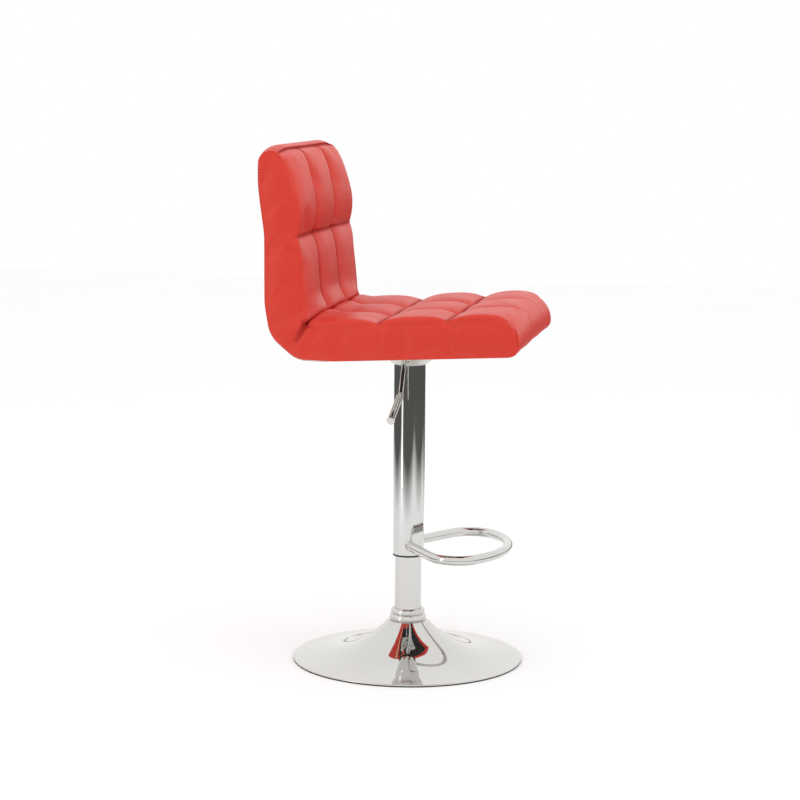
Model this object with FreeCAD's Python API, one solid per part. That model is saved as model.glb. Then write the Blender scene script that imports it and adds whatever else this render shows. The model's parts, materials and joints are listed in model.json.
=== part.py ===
import FreeCAD, Part
import os
from math import acos, asin, atan2, cos, degrees, hypot, pi, radians, sin, sqrt, tan

# Adjustable swivel stool: a quilted seat with a back on a gas lift and a round base.
# Sizes are in millimetres. The origin is on the floor, on the axis of the column, +Z is up
# and a sitter faces -Y. The lift is modelled at its lowest setting.

# ---- Base ---------------------------------------------------------------------------------
base_diameter = 385.0
base_sheet = 1.5  # spun steel
rim_height = 4.0  # top of the rim above the floor
rim_roll = 1.4  # rounding of the rim
rim_slope = 3.5  # degrees, of the disc at its rim
knee_slope = 9.3  # degrees, where the disc turns into the bell
neck_slope = 48.0  # degrees, of the bell at its top
neck_height = 66.0
neck_radius = 33.0
floor_ring_height = 2.2
floor_ring_width = 9.0
floor_ring_inset = 0.2  # how far the rubber stands in from the rim
ballast_lift = 1.0  # underside above the floor
ballast_thickness = 6.0
ballast_edge = 55.0  # from the rim to the edge of the plate

# ---- Lift tube ----------------------------------------------------------------------------
tube_radius = 22.5
tube_wall = 1.5
tube_foot_gap = 1.0  # from the ballast plate to the foot of the tube
tube_headroom = 40.0  # from the top of the tube to the top of the sleeve, at the lowest
foot_taper = 1.0  # degrees, of the foot in its socket
socket_wall = 5.0
socket_flange_radius = 40.0
socket_flange_thickness = 3.0
neck_clearance = 0.3  # round the tube, in the neck and the collar
guide_length = 100.0
guide_lip = 2.0
end_plate_thickness = 3.0
end_plate_seat = 2.5  # how far the tube stands out past the hole under it
collar_height = 21.0
collar_lip_radius = 24.8
collar_bead_radius = 28.6
collar_foot_radius = 30.6
collar_waist_radius = 27.6
collar_tuck = 1.5  # how far its foot draws in
collar_foot_share = 0.22  # heights of its lower swell, waist and bead, of the whole height
collar_waist_share = 0.52
collar_bead_share = 0.72

# ---- Thrust bearing and stop --------------------------------------------------------------
race_inner_radius = 4.8
race_outer_radius = 14.5
race_thickness = 2.2
ball_radius = 1.6
ball_count = 12
ball_circle = 10.0  # radius of the circle of balls
ball_track_depth = 0.4
cage_thickness = 1.4
cage_outer_gap = 0.5  # from the cage to the edges of the races
cage_inner_gap = 0.7
bumper_radius = 13.0
bumper_height = 22.2

# ---- Gas spring ---------------------------------------------------------------------------
lift_travel = 210.0
rod_radius = 5.0
rod_neck_radius = 4.0
rod_groove_radius = 3.2
rod_tail = 1.5  # below the clip
clip_thickness = 1.2
clip_radius = 6.5
clip_gap = 3.0
washer_thickness = 2.0
washer_radius = 9.0
cylinder_radius = 14.0
cylinder_wall = 2.0
cylinder_recess = 1.0  # top of the cylinder below the top of the hub
gland_length = 22.0
piston_length = 18.0
piston_margin = 27.7  # from the gland to the piston with the lift right up
seal_width = 4.0
seal_depth = 1.8
valve_length = 28.0
pin_radius = 3.0
pin_length = 26.0
pin_stand = 4.4  # pin above the cylinder
stop_gap = 0.3  # from the bumper to the cylinder at the lowest
running_gap = 0.05  # radial, for each sliding or turning fit

# ---- Sleeve and footrest ------------------------------------------------------------------
sleeve_radius = 26.0
sleeve_wall = 1.5
sleeve_length = 320.0
bush_length = 30.0
bush_lip = 3.0
cap_plug = 10.0
cap_flange = 2.0
cap_flange_radius = 27.2
footrest_rise = 16.5  # centre line above the lower end of the sleeve
footrest_reach = 167.0  # centre line in front of the axis
footrest_tube_radius = 8.0
footrest_tube_wall = 1.5
footrest_corner_radius = 45.0
footrest_corner_x = 75.0
footrest_corner_y = -95.0
footrest_arm_y = -6.0  # where the arms would meet the plane of the sleeve's side

# ---- Seat plate ---------------------------------------------------------------------------
plate_sheet = 2.0
plate_size = 150.0
plate_corner = 14.0
pan_drop = 27.2  # from the top of the flange to the foot of the pan
pan_foot_radius = 30.0
pan_wall_slope = 45.0  # degrees
hub_radius = 18.5
hub_length = 37.0
hub_rise = 13.0  # above the foot of the pan
hub_taper = 1.4  # degrees
bolt_spacing = 116.0
bolt_radius = 3.0
bolt_head_radius = 5.2
bolt_head_height = 4.0
bolt_hole_gap = 0.4
bolt_key_radius = 2.9  # corners of the hexagon socket
bolt_key_depth = 2.4
bolt_tail = 1.0  # past the T-nut
washer_ring_radius = 5.8
washer_ring_height = 1.5
washer_split = 1.0
nut_barrel_radius = 4.2
nut_flange_radius = 9.5
nut_flange_thickness = 1.4
nut_lift = 1.0  # foot of the barrel above the cover
nut_room = 0.5  # foam clear of the flange

# ---- Height lever -------------------------------------------------------------------------
lever_radius = 4.0
lever_pin_gap = 0.1  # from the release pin to the lever
lever_inner_x = 7.0
lever_pivot_x = -30.0
lever_pivot_drop = 9.0  # below the centre line of the rod
lever_knee_x = -80.0  # where the two outer runs meet
lever_knee_drop = 70.0  # below the underside of the seat
lever_tip_x = -165.0
lever_tip_drop = 31.0  # below the knee
lever_bend = 10.0
lever_knee_bend = 14.0
lever_first_slope = 61.3  # degrees below level, of the run that leaves the pan
lever_slot_width = 11.0
lever_slot_lift = 5.0  # above the foot of the pan
boss_radius = 6.5
boss_width = 10.6  # passes through the slot
ear_thickness = 2.0
ear_gap = 0.2
ear_half_length = 6.0
lever_pin_radius = 3.0
lever_pin_head = 4.5
lever_pin_head_height = 1.5
lever_pin_tail = 1.0  # past the ear
grip_radius = 6.2
grip_start = 6.0  # past the knee
grip_taper = 3.0  # length of its tapered end
grip_end_wall = 0.6
tip_cap_length = 6.0
tip_cap_radius = 6.6
tip_cap_edge = 2.0
tip_cap_stand = 2.0  # past the end of the rod

# ---- Seat and back ------------------------------------------------------------------------
# Local coordinates: y as in the stool, z from the underside of the seat, tilted about X.
seat_width = 410.0
seat_underside = 530.0
seat_tilt = 3.0  # degrees, front edge up
seat_thickness = 67.0
seat_front = -213.0
nose_length = 33.0
nose_foot_share = 0.7  # of the nose's length, where its lower curve ends
# The nose's curve: set back from the front edge, and height as a share of the thickness.
nose_profile = ((9.0, 0.86), (0.0, 0.42), (7.0, 0.10))
back_front = 131.0
back_rear = 193.0
back_waist_depth = 3.5  # how far the rear of the back draws in at its waist
back_shoulder = 4.0  # how far its top stands out again
back_height = 342.0
# The face of the back under its crest: behind the foot of the back, and share of the height.
face_profile = ((21.0, 0.95), (7.0, 0.82), (1.5, 0.69))
waist_share = 0.52  # of the way from the heel to the crest
heel_radius = 85.0  # round the corner below the back
crest_radius = 25.0
ply_thickness = 9.0
ply_edge = 15.0  # foam round the edge of the wood
ply_front_edge = 28.0
ply_top_edge = 20.0
ply_rear_pad = 8.0  # cover and padding behind the wood
cover_thickness = 1.0
cover_hem = 55.0  # cover turned in under the seat
rear_hem = 30.0  # cover in front of the heel's bend
cover_split = 6.0  # from the crest's middle forwards to the seam
dust_thickness = 0.8
dust_overlap = 12.0
staple_crown = 10.0
staple_wire = 0.7
staple_leg = 5.0
staple_pitch = 42.0
staple_inset = 5.0

# ---- Worked out ---------------------------------------------------------------------------
V = FreeCAD.Vector
UP = V(0, 0, 1)
far = 2000.0  # larger than the stool
over = 1.0  # how far a cut reaches past what it cuts

base_radius = base_diameter / 2
ballast_top = ballast_lift + ballast_thickness
ballast_hole = tube_radius - end_plate_seat
tube_bottom = ballast_top + tube_foot_gap
end_plate_top = tube_bottom + end_plate_thickness
race_gap = 2 * (ball_radius - ball_track_depth)
lower_race_top = end_plate_top + race_thickness
upper_race_bottom = lower_race_top + race_gap
upper_race_top = upper_race_bottom + race_thickness
ball_height = lower_race_top + race_gap / 2
bumper_top = upper_race_top + bumper_height
cylinder_bottom = bumper_top + stop_gap
gland_top = cylinder_bottom + gland_length
piston_bottom = gland_top + lift_travel + piston_margin
piston_top = piston_bottom + piston_length

flange_top = seat_underside - dust_thickness
pan_bottom = flange_top - pan_drop
sleeve_top = pan_bottom - cap_flange
sleeve_bottom = sleeve_top - sleeve_length
tube_top = sleeve_top - tube_headroom
socket_top = neck_height - base_sheet
hub_top = pan_bottom + hub_rise
hub_bottom = hub_top - hub_length
cylinder_top = hub_top - cylinder_recess
pin_top = cylinder_top + pin_stand
lever_height = pin_top + lever_pin_gap + lever_radius
pivot_height = lever_height - lever_pivot_drop
footrest_height = sleeve_bottom + footrest_rise


# ---- Helpers ------------------------------------------------------------------------------
def rod(radius, low, high):
    return Part.makeCylinder(radius, high - low, V(0, 0, low))


def tube(outer, inner, low, high):
    return rod(outer, low, high).cut(rod(inner, low - over, high + over))


def cone(low_radius, high_radius, low, high):
    return Part.makeCone(low_radius, high_radius, high - low, V(0, 0, low))


def block(low, high):
    size = V(*high) - V(*low)
    return Part.makeBox(size.x, size.y, size.z, V(*low))


def arc(start, middle, end):
    return Part.Arc(start, middle, end).toShape()


def line(start, end):
    return Part.LineSegment(start, end).toShape()


def curve(points, start_way, end_way):
    """A smooth curve through points that leaves and arrives along the given ways."""
    spline = Part.BSplineCurve()
    spline.interpolate(Points=points, InitialTangent=start_way, FinalTangent=end_way)
    return spline.toShape()


def turned(edges):
    """The solid of revolution about Z of the outline that the edges close."""
    face = Part.Face(Part.Wire(Part.__sortEdges__(edges)))
    return face.revolve(V(0, 0, 0), UP, 360)


def along_y(radius, x, z, low, high):
    return Part.makeCylinder(radius, high - low, V(x, low, z), V(0, 1, 0))


def group(shapes):
    return Part.makeCompound(shapes)


# ---- Base ---------------------------------------------------------------------------------
def flare_radii():
    """Radii of the two tangent arcs that run from the neck to the rim."""
    neck, knee, rim = radians(neck_slope), radians(knee_slope), radians(rim_slope)
    across = base_radius - rim_roll - neck_radius
    down = neck_height - rim_height
    a, b = sin(neck) - sin(knee), sin(knee) - sin(rim)
    c, d = cos(knee) - cos(neck), cos(rim) - cos(knee)
    det = a * d - b * c
    return (across * d - b * down) / det, (a * down - c * across) / det


def on_arc(centre, radius, slope):
    """The point of a hollow arc where the surface falls outwards at this slope."""
    return V(centre.x - radius * sin(slope), 0, centre.z - radius * cos(slope))


def arc_between(centre, radius, first, last):
    middle = on_arc(centre, radius, (first + last) / 2)
    return arc(on_arc(centre, radius, first), middle, on_arc(centre, radius, last))


def base_shell():
    bell, disc = flare_radii()
    neck, knee, rim = radians(neck_slope), radians(knee_slope), radians(rim_slope)
    bell_centre = V(neck_radius + bell * sin(neck), 0, neck_height + bell * cos(neck))
    joint = on_arc(bell_centre, bell, knee)
    disc_centre = joint + V(disc * sin(knee), 0, disc * cos(knee))
    bell_in, disc_in = bell + base_sheet, disc + base_sheet
    inner_rim = base_radius - base_sheet
    neck_in = acos((bell_centre.z - neck_height + base_sheet) / bell_in)
    rim_in = asin((disc_centre.x - inner_rim) / disc_in)
    hole = tube_radius + neck_clearance
    roll_low = rim_height - rim_roll
    roll_middle = rim_roll * (1 - sqrt(0.5))
    top = V(neck_radius, 0, neck_height)
    edge = on_arc(disc_centre, disc, rim)
    lip = V(base_radius, 0, roll_low)
    bend = V(base_radius - roll_middle, 0, rim_height - roll_middle)
    foot = V(base_radius, 0, floor_ring_height)
    foot_in = V(inner_rim, 0, floor_ring_height)
    rim_end = on_arc(disc_centre, disc_in, rim_in)
    neck_end = on_arc(bell_centre, bell_in, neck_in)
    hole_low = V(hole, 0, neck_height - base_sheet)
    hole_high = V(hole, 0, neck_height)
    return turned([
        arc_between(bell_centre, bell, neck, knee),
        arc_between(disc_centre, disc, knee, rim),
        arc(edge, bend, lip),
        line(lip, foot),
        line(foot, foot_in),
        line(foot_in, rim_end),
        arc_between(disc_centre, disc_in, rim_in, knee),
        arc_between(bell_centre, bell_in, knee, neck_in),
        line(neck_end, hole_low),
        line(hole_low, hole_high),
        line(hole_high, top),
    ])


def floor_ring():
    outer = base_radius - floor_ring_inset
    return tube(outer, outer - floor_ring_width, 0, floor_ring_height)


def ballast_plate():
    return tube(base_radius - ballast_edge, ballast_hole, ballast_lift, ballast_top)


def foot_radius(height):
    """Outer radius of the lift tube, which tapers inside its socket."""
    return tube_radius - max(0.0, socket_top - height) * tan(radians(foot_taper))


def lift_tube():
    def turned_tube(wall):
        foot = cone(foot_radius(tube_bottom) - wall, tube_radius - wall, tube_bottom, socket_top)
        return foot.fuse(rod(tube_radius - wall, socket_top, tube_top)).removeSplitter()

    return turned_tube(0).cut(turned_tube(tube_wall))


def hub_socket():
    outer = tube_radius + socket_wall
    body = rod(outer, ballast_top, socket_top)
    flange = rod(socket_flange_radius, ballast_top, ballast_top + socket_flange_thickness)
    bore = cone(foot_radius(tube_bottom), tube_radius, tube_bottom, socket_top)
    floor_hole = rod(ballast_hole, ballast_top - over, tube_bottom + over)
    return body.fuse(flange).cut(bore).cut(floor_hole).removeSplitter()


def collar_ring():
    """Two rounded tiers with a waist between them."""
    low, high = neck_height, neck_height + collar_height
    bore = tube_radius + neck_clearance
    waist = low + collar_height * collar_waist_share
    lower_mid = low + collar_height * collar_foot_share
    upper_mid = low + collar_height * collar_bead_share
    foot = V(collar_foot_radius - collar_tuck, 0, low)
    waist_point = V(collar_waist_radius, 0, waist)
    lip = V(collar_lip_radius, 0, high)
    return turned([
        line(V(bore, 0, low), foot),
        arc(foot, V(collar_foot_radius, 0, lower_mid), waist_point),
        arc(waist_point, V(collar_bead_radius, 0, upper_mid), lip),
        line(lip, V(bore, 0, high)),
        line(V(bore, 0, high), V(bore, 0, low)),
    ])


def tube_end_plate():
    inner = foot_radius(tube_bottom) - tube_wall
    inner_top = foot_radius(end_plate_top) - tube_wall
    plate = cone(inner, inner_top, tube_bottom, end_plate_top)
    return plate.cut(rod(rod_neck_radius + running_gap, tube_bottom - over, end_plate_top + over))


def lift_guide():
    body = rod(tube_radius - tube_wall, tube_top - guide_length, tube_top)
    lip = rod(tube_radius - tube_wall / 2, tube_top, tube_top + guide_lip)
    bore = rod(cylinder_radius + running_gap, 0, far)
    return body.fuse(lip).cut(bore).removeSplitter()


# ---- Thrust bearing -----------------------------------------------------------------------
def ball_track():
    ring = Part.makeTorus(ball_circle, ball_radius + running_gap / 2)
    ring.translate(V(0, 0, ball_height))
    return ring


def lower_race():
    race = tube(race_outer_radius, race_inner_radius, end_plate_top, lower_race_top)
    return race.cut(ball_track())


def upper_race():
    race = tube(race_outer_radius, rod_neck_radius, upper_race_bottom, upper_race_top)
    return race.cut(ball_track())


def balls(radius):
    spots = []
    for i in range(ball_count):
        angle = 2 * pi * i / ball_count
        spots.append(Part.makeSphere(
            radius, V(ball_circle * cos(angle), ball_circle * sin(angle), ball_height)))
    return spots


def bearing_cage():
    half = cage_thickness / 2
    outer = race_outer_radius - cage_outer_gap
    inner = race_inner_radius + cage_inner_gap
    ring = tube(outer, inner, ball_height - half, ball_height + half)
    return ring.cut(group(balls(ball_radius + running_gap)))


def rubber_bumper():
    return tube(bumper_radius, rod_radius, upper_race_top, bumper_top)


# ---- Gas spring ---------------------------------------------------------------------------
washer_bottom = tube_bottom - running_gap - washer_thickness
clip_bottom = washer_bottom - clip_thickness


def piston_rod():
    neck = rod(rod_neck_radius, clip_bottom - rod_tail, upper_race_top)
    groove = tube(rod_neck_radius + over, rod_groove_radius, clip_bottom, washer_bottom)
    shank = rod(rod_radius, upper_race_top, piston_top)
    return neck.cut(groove).fuse(shank).removeSplitter()


def rod_clip():
    """A ring with a gap that snaps into the groove of the rod."""
    ring = tube(clip_radius, rod_groove_radius, clip_bottom, washer_bottom)
    low = (0, -clip_gap / 2, clip_bottom - over)
    high = (clip_radius + over, clip_gap / 2, washer_bottom + over)
    return ring.cut(block(low, high))


def rod_washer():
    return tube(washer_radius, rod_neck_radius, washer_bottom, washer_bottom + washer_thickness)


def seal_span():
    middle = (piston_bottom + piston_top) / 2
    return middle - seal_width / 2, middle + seal_width / 2


def bore_radius():
    return cylinder_radius - cylinder_wall


def piston():
    outer = bore_radius() - running_gap
    body = tube(outer, rod_radius, piston_bottom, piston_top)
    return body.cut(tube(outer + over, outer - seal_depth, *seal_span()))


def piston_seal():
    outer = bore_radius() - running_gap
    return tube(outer, outer - seal_depth, *seal_span())


def hub_bore_radius(height):
    """Radius of the tapered seat that the cylinder is pushed into."""
    return cylinder_radius - max(0.0, height - hub_bottom) * tan(radians(hub_taper))


def pressure_cylinder():
    straight = rod(cylinder_radius, cylinder_bottom, hub_bottom)
    tapered = cone(cylinder_radius, hub_bore_radius(cylinder_top), hub_bottom, cylinder_top)
    bore = rod(bore_radius(), cylinder_bottom - over, cylinder_top + over)
    return straight.fuse(tapered).cut(bore).removeSplitter()


def cylinder_gland():
    return tube(bore_radius(), rod_radius + running_gap, cylinder_bottom, gland_top)


def valve_body():
    return tube(bore_radius(), pin_radius + running_gap, cylinder_top - valve_length, cylinder_top)


def release_pin():
    """A round pin with a domed top."""
    shank = rod(pin_radius, pin_top - pin_length, pin_top - pin_radius)
    dome = Part.makeSphere(pin_radius, V(0, 0, pin_top - pin_radius))
    return shank.fuse(dome).removeSplitter()


# ---- Sleeve and footrest ------------------------------------------------------------------
def column_sleeve():
    return tube(sleeve_radius, sleeve_radius - sleeve_wall, sleeve_bottom, sleeve_top)


def sleeve_bush():
    body = rod(sleeve_radius - sleeve_wall, sleeve_bottom - bush_lip, sleeve_bottom + bush_length)
    lip = rod(sleeve_radius, sleeve_bottom - bush_lip, sleeve_bottom)
    bore = rod(tube_radius + running_gap, 0, far)
    return body.fuse(lip).cut(bore).removeSplitter()


def sleeve_cap():
    plug = rod(sleeve_radius - sleeve_wall, sleeve_top - cap_plug, sleeve_top)
    flange = rod(cap_flange_radius, sleeve_top, pan_bottom)
    return plug.fuse(flange).cut(rod(hub_radius, 0, far)).removeSplitter()


def footrest_path():
    """Half loop from the sleeve to the front, as a line and two tangent arcs, then its mirror."""
    corner = V(footrest_corner_x, footrest_corner_y, 0)
    r = footrest_corner_radius
    reach = footrest_reach
    dx, dy = corner.x, corner.y + reach
    front = (dx * dx + dy * dy - r * r) / (2 * (dy - r))
    front_centre = V(0, front - reach, 0)
    start = V(sleeve_radius - 2 * sleeve_wall, footrest_arm_y, 0)
    span = corner - start
    leaving = atan2(span.y, span.x) + asin(r / hypot(span.x, span.y))
    arm_end = corner + V(-sin(leaving), cos(leaving), 0) * r
    outward = (corner - front_centre).normalize()
    corner_end = corner + outward * r
    bisector = ((arm_end - corner) + (corner_end - corner)).normalize()
    nose = V(0, -reach, 0)
    lift = V(0, 0, footrest_height)

    def mirrored(p):
        return V(-p.x, p.y, p.z)

    right = [start, arm_end, corner + bisector * r, corner_end]
    left = [mirrored(p) for p in right]
    right = [p + lift for p in right]
    left = [p + lift for p in left]
    return Part.Wire([
        line(right[0], right[1]),
        arc(right[1], right[2], right[3]),
        arc(right[3], nose + lift, left[3]),
        arc(left[3], left[2], left[1]),
        line(left[1], left[0]),
    ])


def swept(path, radius):
    """A round bar along the path."""
    start = path.Edges[0]
    way = start.tangentAt(start.FirstParameter)
    ring = Part.Wire(Part.makeCircle(radius, start.valueAt(start.FirstParameter), way))
    return path.makePipeShell([ring], True, False)


def footrest():
    path = footrest_path()
    bar = swept(path, footrest_tube_radius)
    hollow = swept(path, footrest_tube_radius - footrest_tube_wall)
    return bar.cut(hollow).cut(rod(sleeve_radius, 0, far))


# ---- Seat plate ---------------------------------------------------------------------------
def placed(shape):
    """Moves a shape from the seat's own coordinates to the stool's."""
    shape = shape.copy()
    shape.rotate(V(0, 0, 0), V(1, 0, 0), -seat_tilt)
    shape.translate(V(0, 0, seat_underside))
    return shape


def rounded_plate(half_x, low_y, high_y, low, high, radius):
    plate = block((-half_x, low_y, low), (half_x, high_y, high))
    upright = [e for e in plate.Edges if abs(e.tangentAt(e.FirstParameter).z) > 0.99]
    return plate.makeFillet(radius, upright)


def bolt_spots():
    half = bolt_spacing / 2
    return [(x, y) for x in (-half, half) for y in (-half, half)]


def at_bolts(shape):
    """Copies of a shape at the four bolts, in the seat's own coordinates."""
    copies = []
    for x, y in bolt_spots():
        copy = shape.copy()
        copy.translate(V(x, y, 0))
        copies.append(copy)
    return group(copies)


def pan_cone(inset):
    """The pan's conical side as a solid, this far inside its outer face."""
    slope = tan(radians(pan_wall_slope))
    base = pan_foot_radius - inset / sin(radians(pan_wall_slope))
    height = 2 * pan_drop
    return cone(base, base + height / slope, pan_bottom, pan_bottom + height)


def pan_hollow():
    above_foot = block((-far, -far, pan_bottom + plate_sheet), (far, far, far))
    return pan_cone(plate_sheet).common(above_foot)


def mounting_plate():
    half = plate_size / 2
    low, high = -dust_thickness - plate_sheet, -dust_thickness
    flange = placed(rounded_plate(half, -half, half, low, high, plate_corner))
    under_flange = placed(block((-far, -far, -far), (far, far, high)))
    pan = pan_cone(0).common(under_flange)
    slot = block((-far, -lever_slot_width / 2, pan_bottom + lever_slot_lift),
                 (lever_pivot_x, lever_slot_width / 2, flange_top - plate_sheet))
    slot = slot.common(block((-2 * pan_foot_radius, -far, 0), (0, far, far)))
    holes = placed(at_bolts(rod(bolt_radius + bolt_hole_gap, low - pan_drop, high + pan_drop)))
    plate = flange.fuse(pan).cut(pan_hollow()).cut(rod(hub_radius, 0, far))
    return plate.cut(slot).cut(holes).removeSplitter()


def plate_hub():
    body = rod(hub_radius, hub_bottom, hub_top)
    return body.cut(cone(cylinder_radius, hub_bore_radius(hub_top), hub_bottom, hub_top))


def plate_bolts():
    head_top = -dust_thickness - plate_sheet - washer_ring_height
    tip = cover_thickness + ply_thickness + nut_flange_thickness
    head = rod(bolt_head_radius, head_top - bolt_head_height, head_top)
    angles = [2 * pi * i / 6 for i in range(7)]
    hexagon = [V(cos(a), sin(a), 0) * bolt_key_radius for a in angles]
    key = Part.Face(Part.makePolygon(hexagon)).extrude(V(0, 0, bolt_key_depth))
    key.translate(V(0, 0, head_top - bolt_head_height))
    return placed(at_bolts(head.cut(key).fuse(rod(bolt_radius, head_top, tip)).removeSplitter()))


def lock_washers():
    high = -dust_thickness - plate_sheet
    ring = tube(washer_ring_radius, bolt_radius, high - washer_ring_height, high)
    return placed(at_bolts(ring.cut(block((0, -washer_split / 2, -far), (far, washer_split / 2, far)))))


def t_nut_local():
    top = cover_thickness + ply_thickness
    barrel = rod(nut_barrel_radius, cover_thickness + nut_lift, top)
    flange = rod(nut_flange_radius, top, top + nut_flange_thickness)
    return at_bolts(barrel.fuse(flange).cut(rod(bolt_radius, -far, far)).removeSplitter())


def t_nuts():
    return placed(t_nut_local())


# ---- Height lever -------------------------------------------------------------------------
def lever_points():
    """Corners of the lever's centre line, in the XZ plane, from the valve to the tip."""
    knee = V(lever_knee_x, 0, seat_underside - lever_knee_drop)
    run = (lever_height - knee.z) / tan(radians(lever_first_slope))
    tip = V(lever_tip_x, 0, knee.z - lever_tip_drop)
    return [V(lever_inner_x, 0, lever_height), V(knee.x + run, 0, lever_height), knee, tip]


def bent(points, radii):
    """A wire of straight runs joined by tangent arcs."""
    edges = []
    here = points[0]
    for before, corner, after, radius in zip(points, points[1:], points[2:], radii):
        back = (before - corner).normalize()
        on = (after - corner).normalize()
        half = back.getAngle(on) / 2
        start = corner + back * (radius / tan(half))
        end = corner + on * (radius / tan(half))
        centre = corner + (back + on).normalize() * (radius / sin(half))
        middle = centre + (corner - centre).normalize() * radius
        edges += [line(here, start), arc(start, middle, end)]
        here = end
    return Part.Wire(edges + [line(here, points[-1])])


def lever_path():
    return bent(lever_points(), [lever_bend, lever_knee_bend])


def lever_rod():
    return swept(lever_path(), lever_radius)


def along_outer_run(radius, start, end):
    """A round bar on the lever's outer run, between two distances past the knee."""
    knee, tip = lever_points()[2:]
    way = (tip - knee).normalize()
    return Part.makeCylinder(radius, end - start, knee + way * start, way)


def outer_run():
    knee, tip = lever_points()[2:]
    return (tip - knee).Length


def lever_grip():
    end = outer_run() - tip_cap_length + tip_cap_stand
    bar = along_outer_run(grip_radius, grip_start + grip_taper, end)
    knee, tip = lever_points()[2:]
    way = (tip - knee).normalize()
    nose = Part.makeCone(
        lever_radius + grip_end_wall, grip_radius, grip_taper, knee + way * grip_start, way)
    return bar.fuse(nose).cut(swept(lever_path(), lever_radius)).removeSplitter()


def lever_tip_cap():
    start = outer_run() - tip_cap_length + tip_cap_stand
    cap = along_outer_run(tip_cap_radius, start, start + tip_cap_length)
    cap = cap.makeFillet(tip_cap_edge, cap.Edges)
    return cap.cut(swept(lever_path(), lever_radius))


def lever_boss():
    half = boss_width / 2
    boss = along_y(boss_radius, lever_pivot_x, pivot_height, -half, half)
    bore = along_y(lever_pin_radius + running_gap, lever_pivot_x, pivot_height, -half, half)
    return boss.cut(bore).cut(swept(lever_path(), lever_radius))


def ear_faces():
    inner = boss_width / 2 + ear_gap
    return inner, inner + ear_thickness


def lever_bracket():
    """Two ears on a foot, welded inside the pan."""
    inner, outer = ear_faces()
    floor = pan_bottom + plate_sheet
    low_x, high_x = lever_pivot_x - ear_half_length, lever_pivot_x + ear_half_length
    body = block((low_x, -outer, floor), (high_x, outer, pivot_height + ear_half_length))
    gap = block((low_x - over, -inner, floor + plate_sheet), (high_x + over, inner, far))
    pin = along_y(lever_pin_radius, lever_pivot_x, pivot_height, -far, far)
    return body.cut(gap).cut(pin).common(pan_hollow()).cut(rod(hub_radius, 0, far))


def lever_pin():
    outer = ear_faces()[1]
    shank = along_y(lever_pin_radius, lever_pivot_x, pivot_height, -outer, outer + lever_pin_tail)
    head = along_y(lever_pin_head, lever_pivot_x, pivot_height, -outer - lever_pin_head_height, -outer)
    return shank.fuse(head).removeSplitter()


# ---- Seat and back ------------------------------------------------------------------------
def at(y, z):
    return V(0, y, z)


def seat_outline(inset):
    """Outline of seat and back from the side, with its rear and underside set in by inset."""
    heel = V(0, back_rear - heel_radius, heel_radius)
    r = heel_radius - inset
    rear = back_rear - inset
    crest = back_height - inset
    crest_y = back_rear + back_shoulder - crest_radius
    shoulder = back_rear + back_shoulder - inset
    turn = crest_radius - inset
    waist = heel_radius + (back_height - heel_radius) * waist_share
    top = seat_thickness
    nose_y = seat_front + nose_length
    low_y = seat_front + nose_length * nose_foot_share
    low = at(low_y, inset)
    heel_low = heel + at(0, -r)
    heel_side = heel + at(r, 0)
    shoulder_low = at(shoulder, back_height - crest_radius)
    crest_rear = at(crest_y, crest)
    crease = at(back_front, top)
    front = [at(back_front + lean, back_height * share) for lean, share in face_profile]
    nose = [at(seat_front + back, top * share) for back, share in nose_profile]
    return Part.Face(Part.Wire([
        line(low, heel_low),
        arc(heel_low, heel + at(r * sqrt(0.5), -r * sqrt(0.5)), heel_side),
        curve([heel_side, at(rear - back_waist_depth, waist), shoulder_low], at(0, 1), at(0, 1)),
        arc(shoulder_low, at(crest_y + turn * sqrt(0.5), back_height - crest_radius + turn * sqrt(0.5)),
            crest_rear),
        curve([crest_rear] + front, at(-1, 0), at(0, -1)),
        line(front[-1], crease),
        line(crease, at(nose_y, top)),
        curve([at(nose_y, top)] + nose + [low], at(-1, 0), at(1, 0)),
    ]))


def across(face, half):
    """Extrudes a side outline across the stool."""
    face = face.copy()
    face.translate(V(-half, 0, 0))
    return face.extrude(V(2 * half, 0, 0))


def hem_window(margin):
    """The part of the underside inside the hem of the cover."""
    half = seat_width / 2 - cover_hem + margin
    low = seat_front + cover_hem - margin
    high = back_rear - heel_radius - rear_hem + margin
    return half, low, high


def outer_cover_local():
    """The sheet behind the back, round the heel and turned in under the seat."""
    half = seat_width / 2
    skin = across(seat_outline(0), half).cut(across(seat_outline(cover_thickness), half + over))
    under = block((-far, seat_front + nose_length / 2, -far), (far, far, seat_thickness / 2))
    behind = block((-far, back_rear + back_shoulder - crest_radius - cover_split, -far), (far, far, far))
    window_half, low, high = hem_window(0)
    window = block((-window_half, low, -far), (window_half, high, cover_thickness + over))
    return skin.common(under.fuse(behind)).cut(window)


def seat_shell_local():
    """Bent plywood: seat, heel and back in one sheet."""
    half = seat_width / 2 - ply_edge
    front = seat_front + ply_front_edge
    low = cover_thickness
    rear = back_rear - ply_rear_pad
    radius = heel_radius - ply_rear_pad
    middle = V(0, rear - radius, low + radius)
    inner = radius - ply_thickness
    top = back_height - ply_top_edge

    def bend(r):
        side = middle + at(r * sqrt(0.5), -r * sqrt(0.5))
        return arc(middle + at(0, -r), side, middle + at(r, 0))

    face = Part.Face(Part.Wire([
        line(at(front, low), middle + at(0, -radius)),
        bend(radius),
        line(middle + at(radius, 0), at(rear, top)),
        line(at(rear, top), at(rear - ply_thickness, top)),
        line(at(rear - ply_thickness, top), middle + at(inner, 0)),
        bend(inner),
        line(middle + at(0, -inner), at(front, low + ply_thickness)),
        line(at(front, low + ply_thickness), at(front, low)),
    ]))
    holes = at_bolts(rod(bolt_radius + bolt_hole_gap, -far, far))
    return across(face, half).cut(holes).cut(t_nut_local())


def rear_pad_local():
    """Thin padding between the wood and the cover behind the back."""
    half = seat_width / 2 - ply_edge
    rear = back_rear - ply_rear_pad
    space = block((-half, rear, heel_radius), (half, far, back_height - ply_top_edge))
    return across(seat_outline(cover_thickness), half).common(space)


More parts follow.
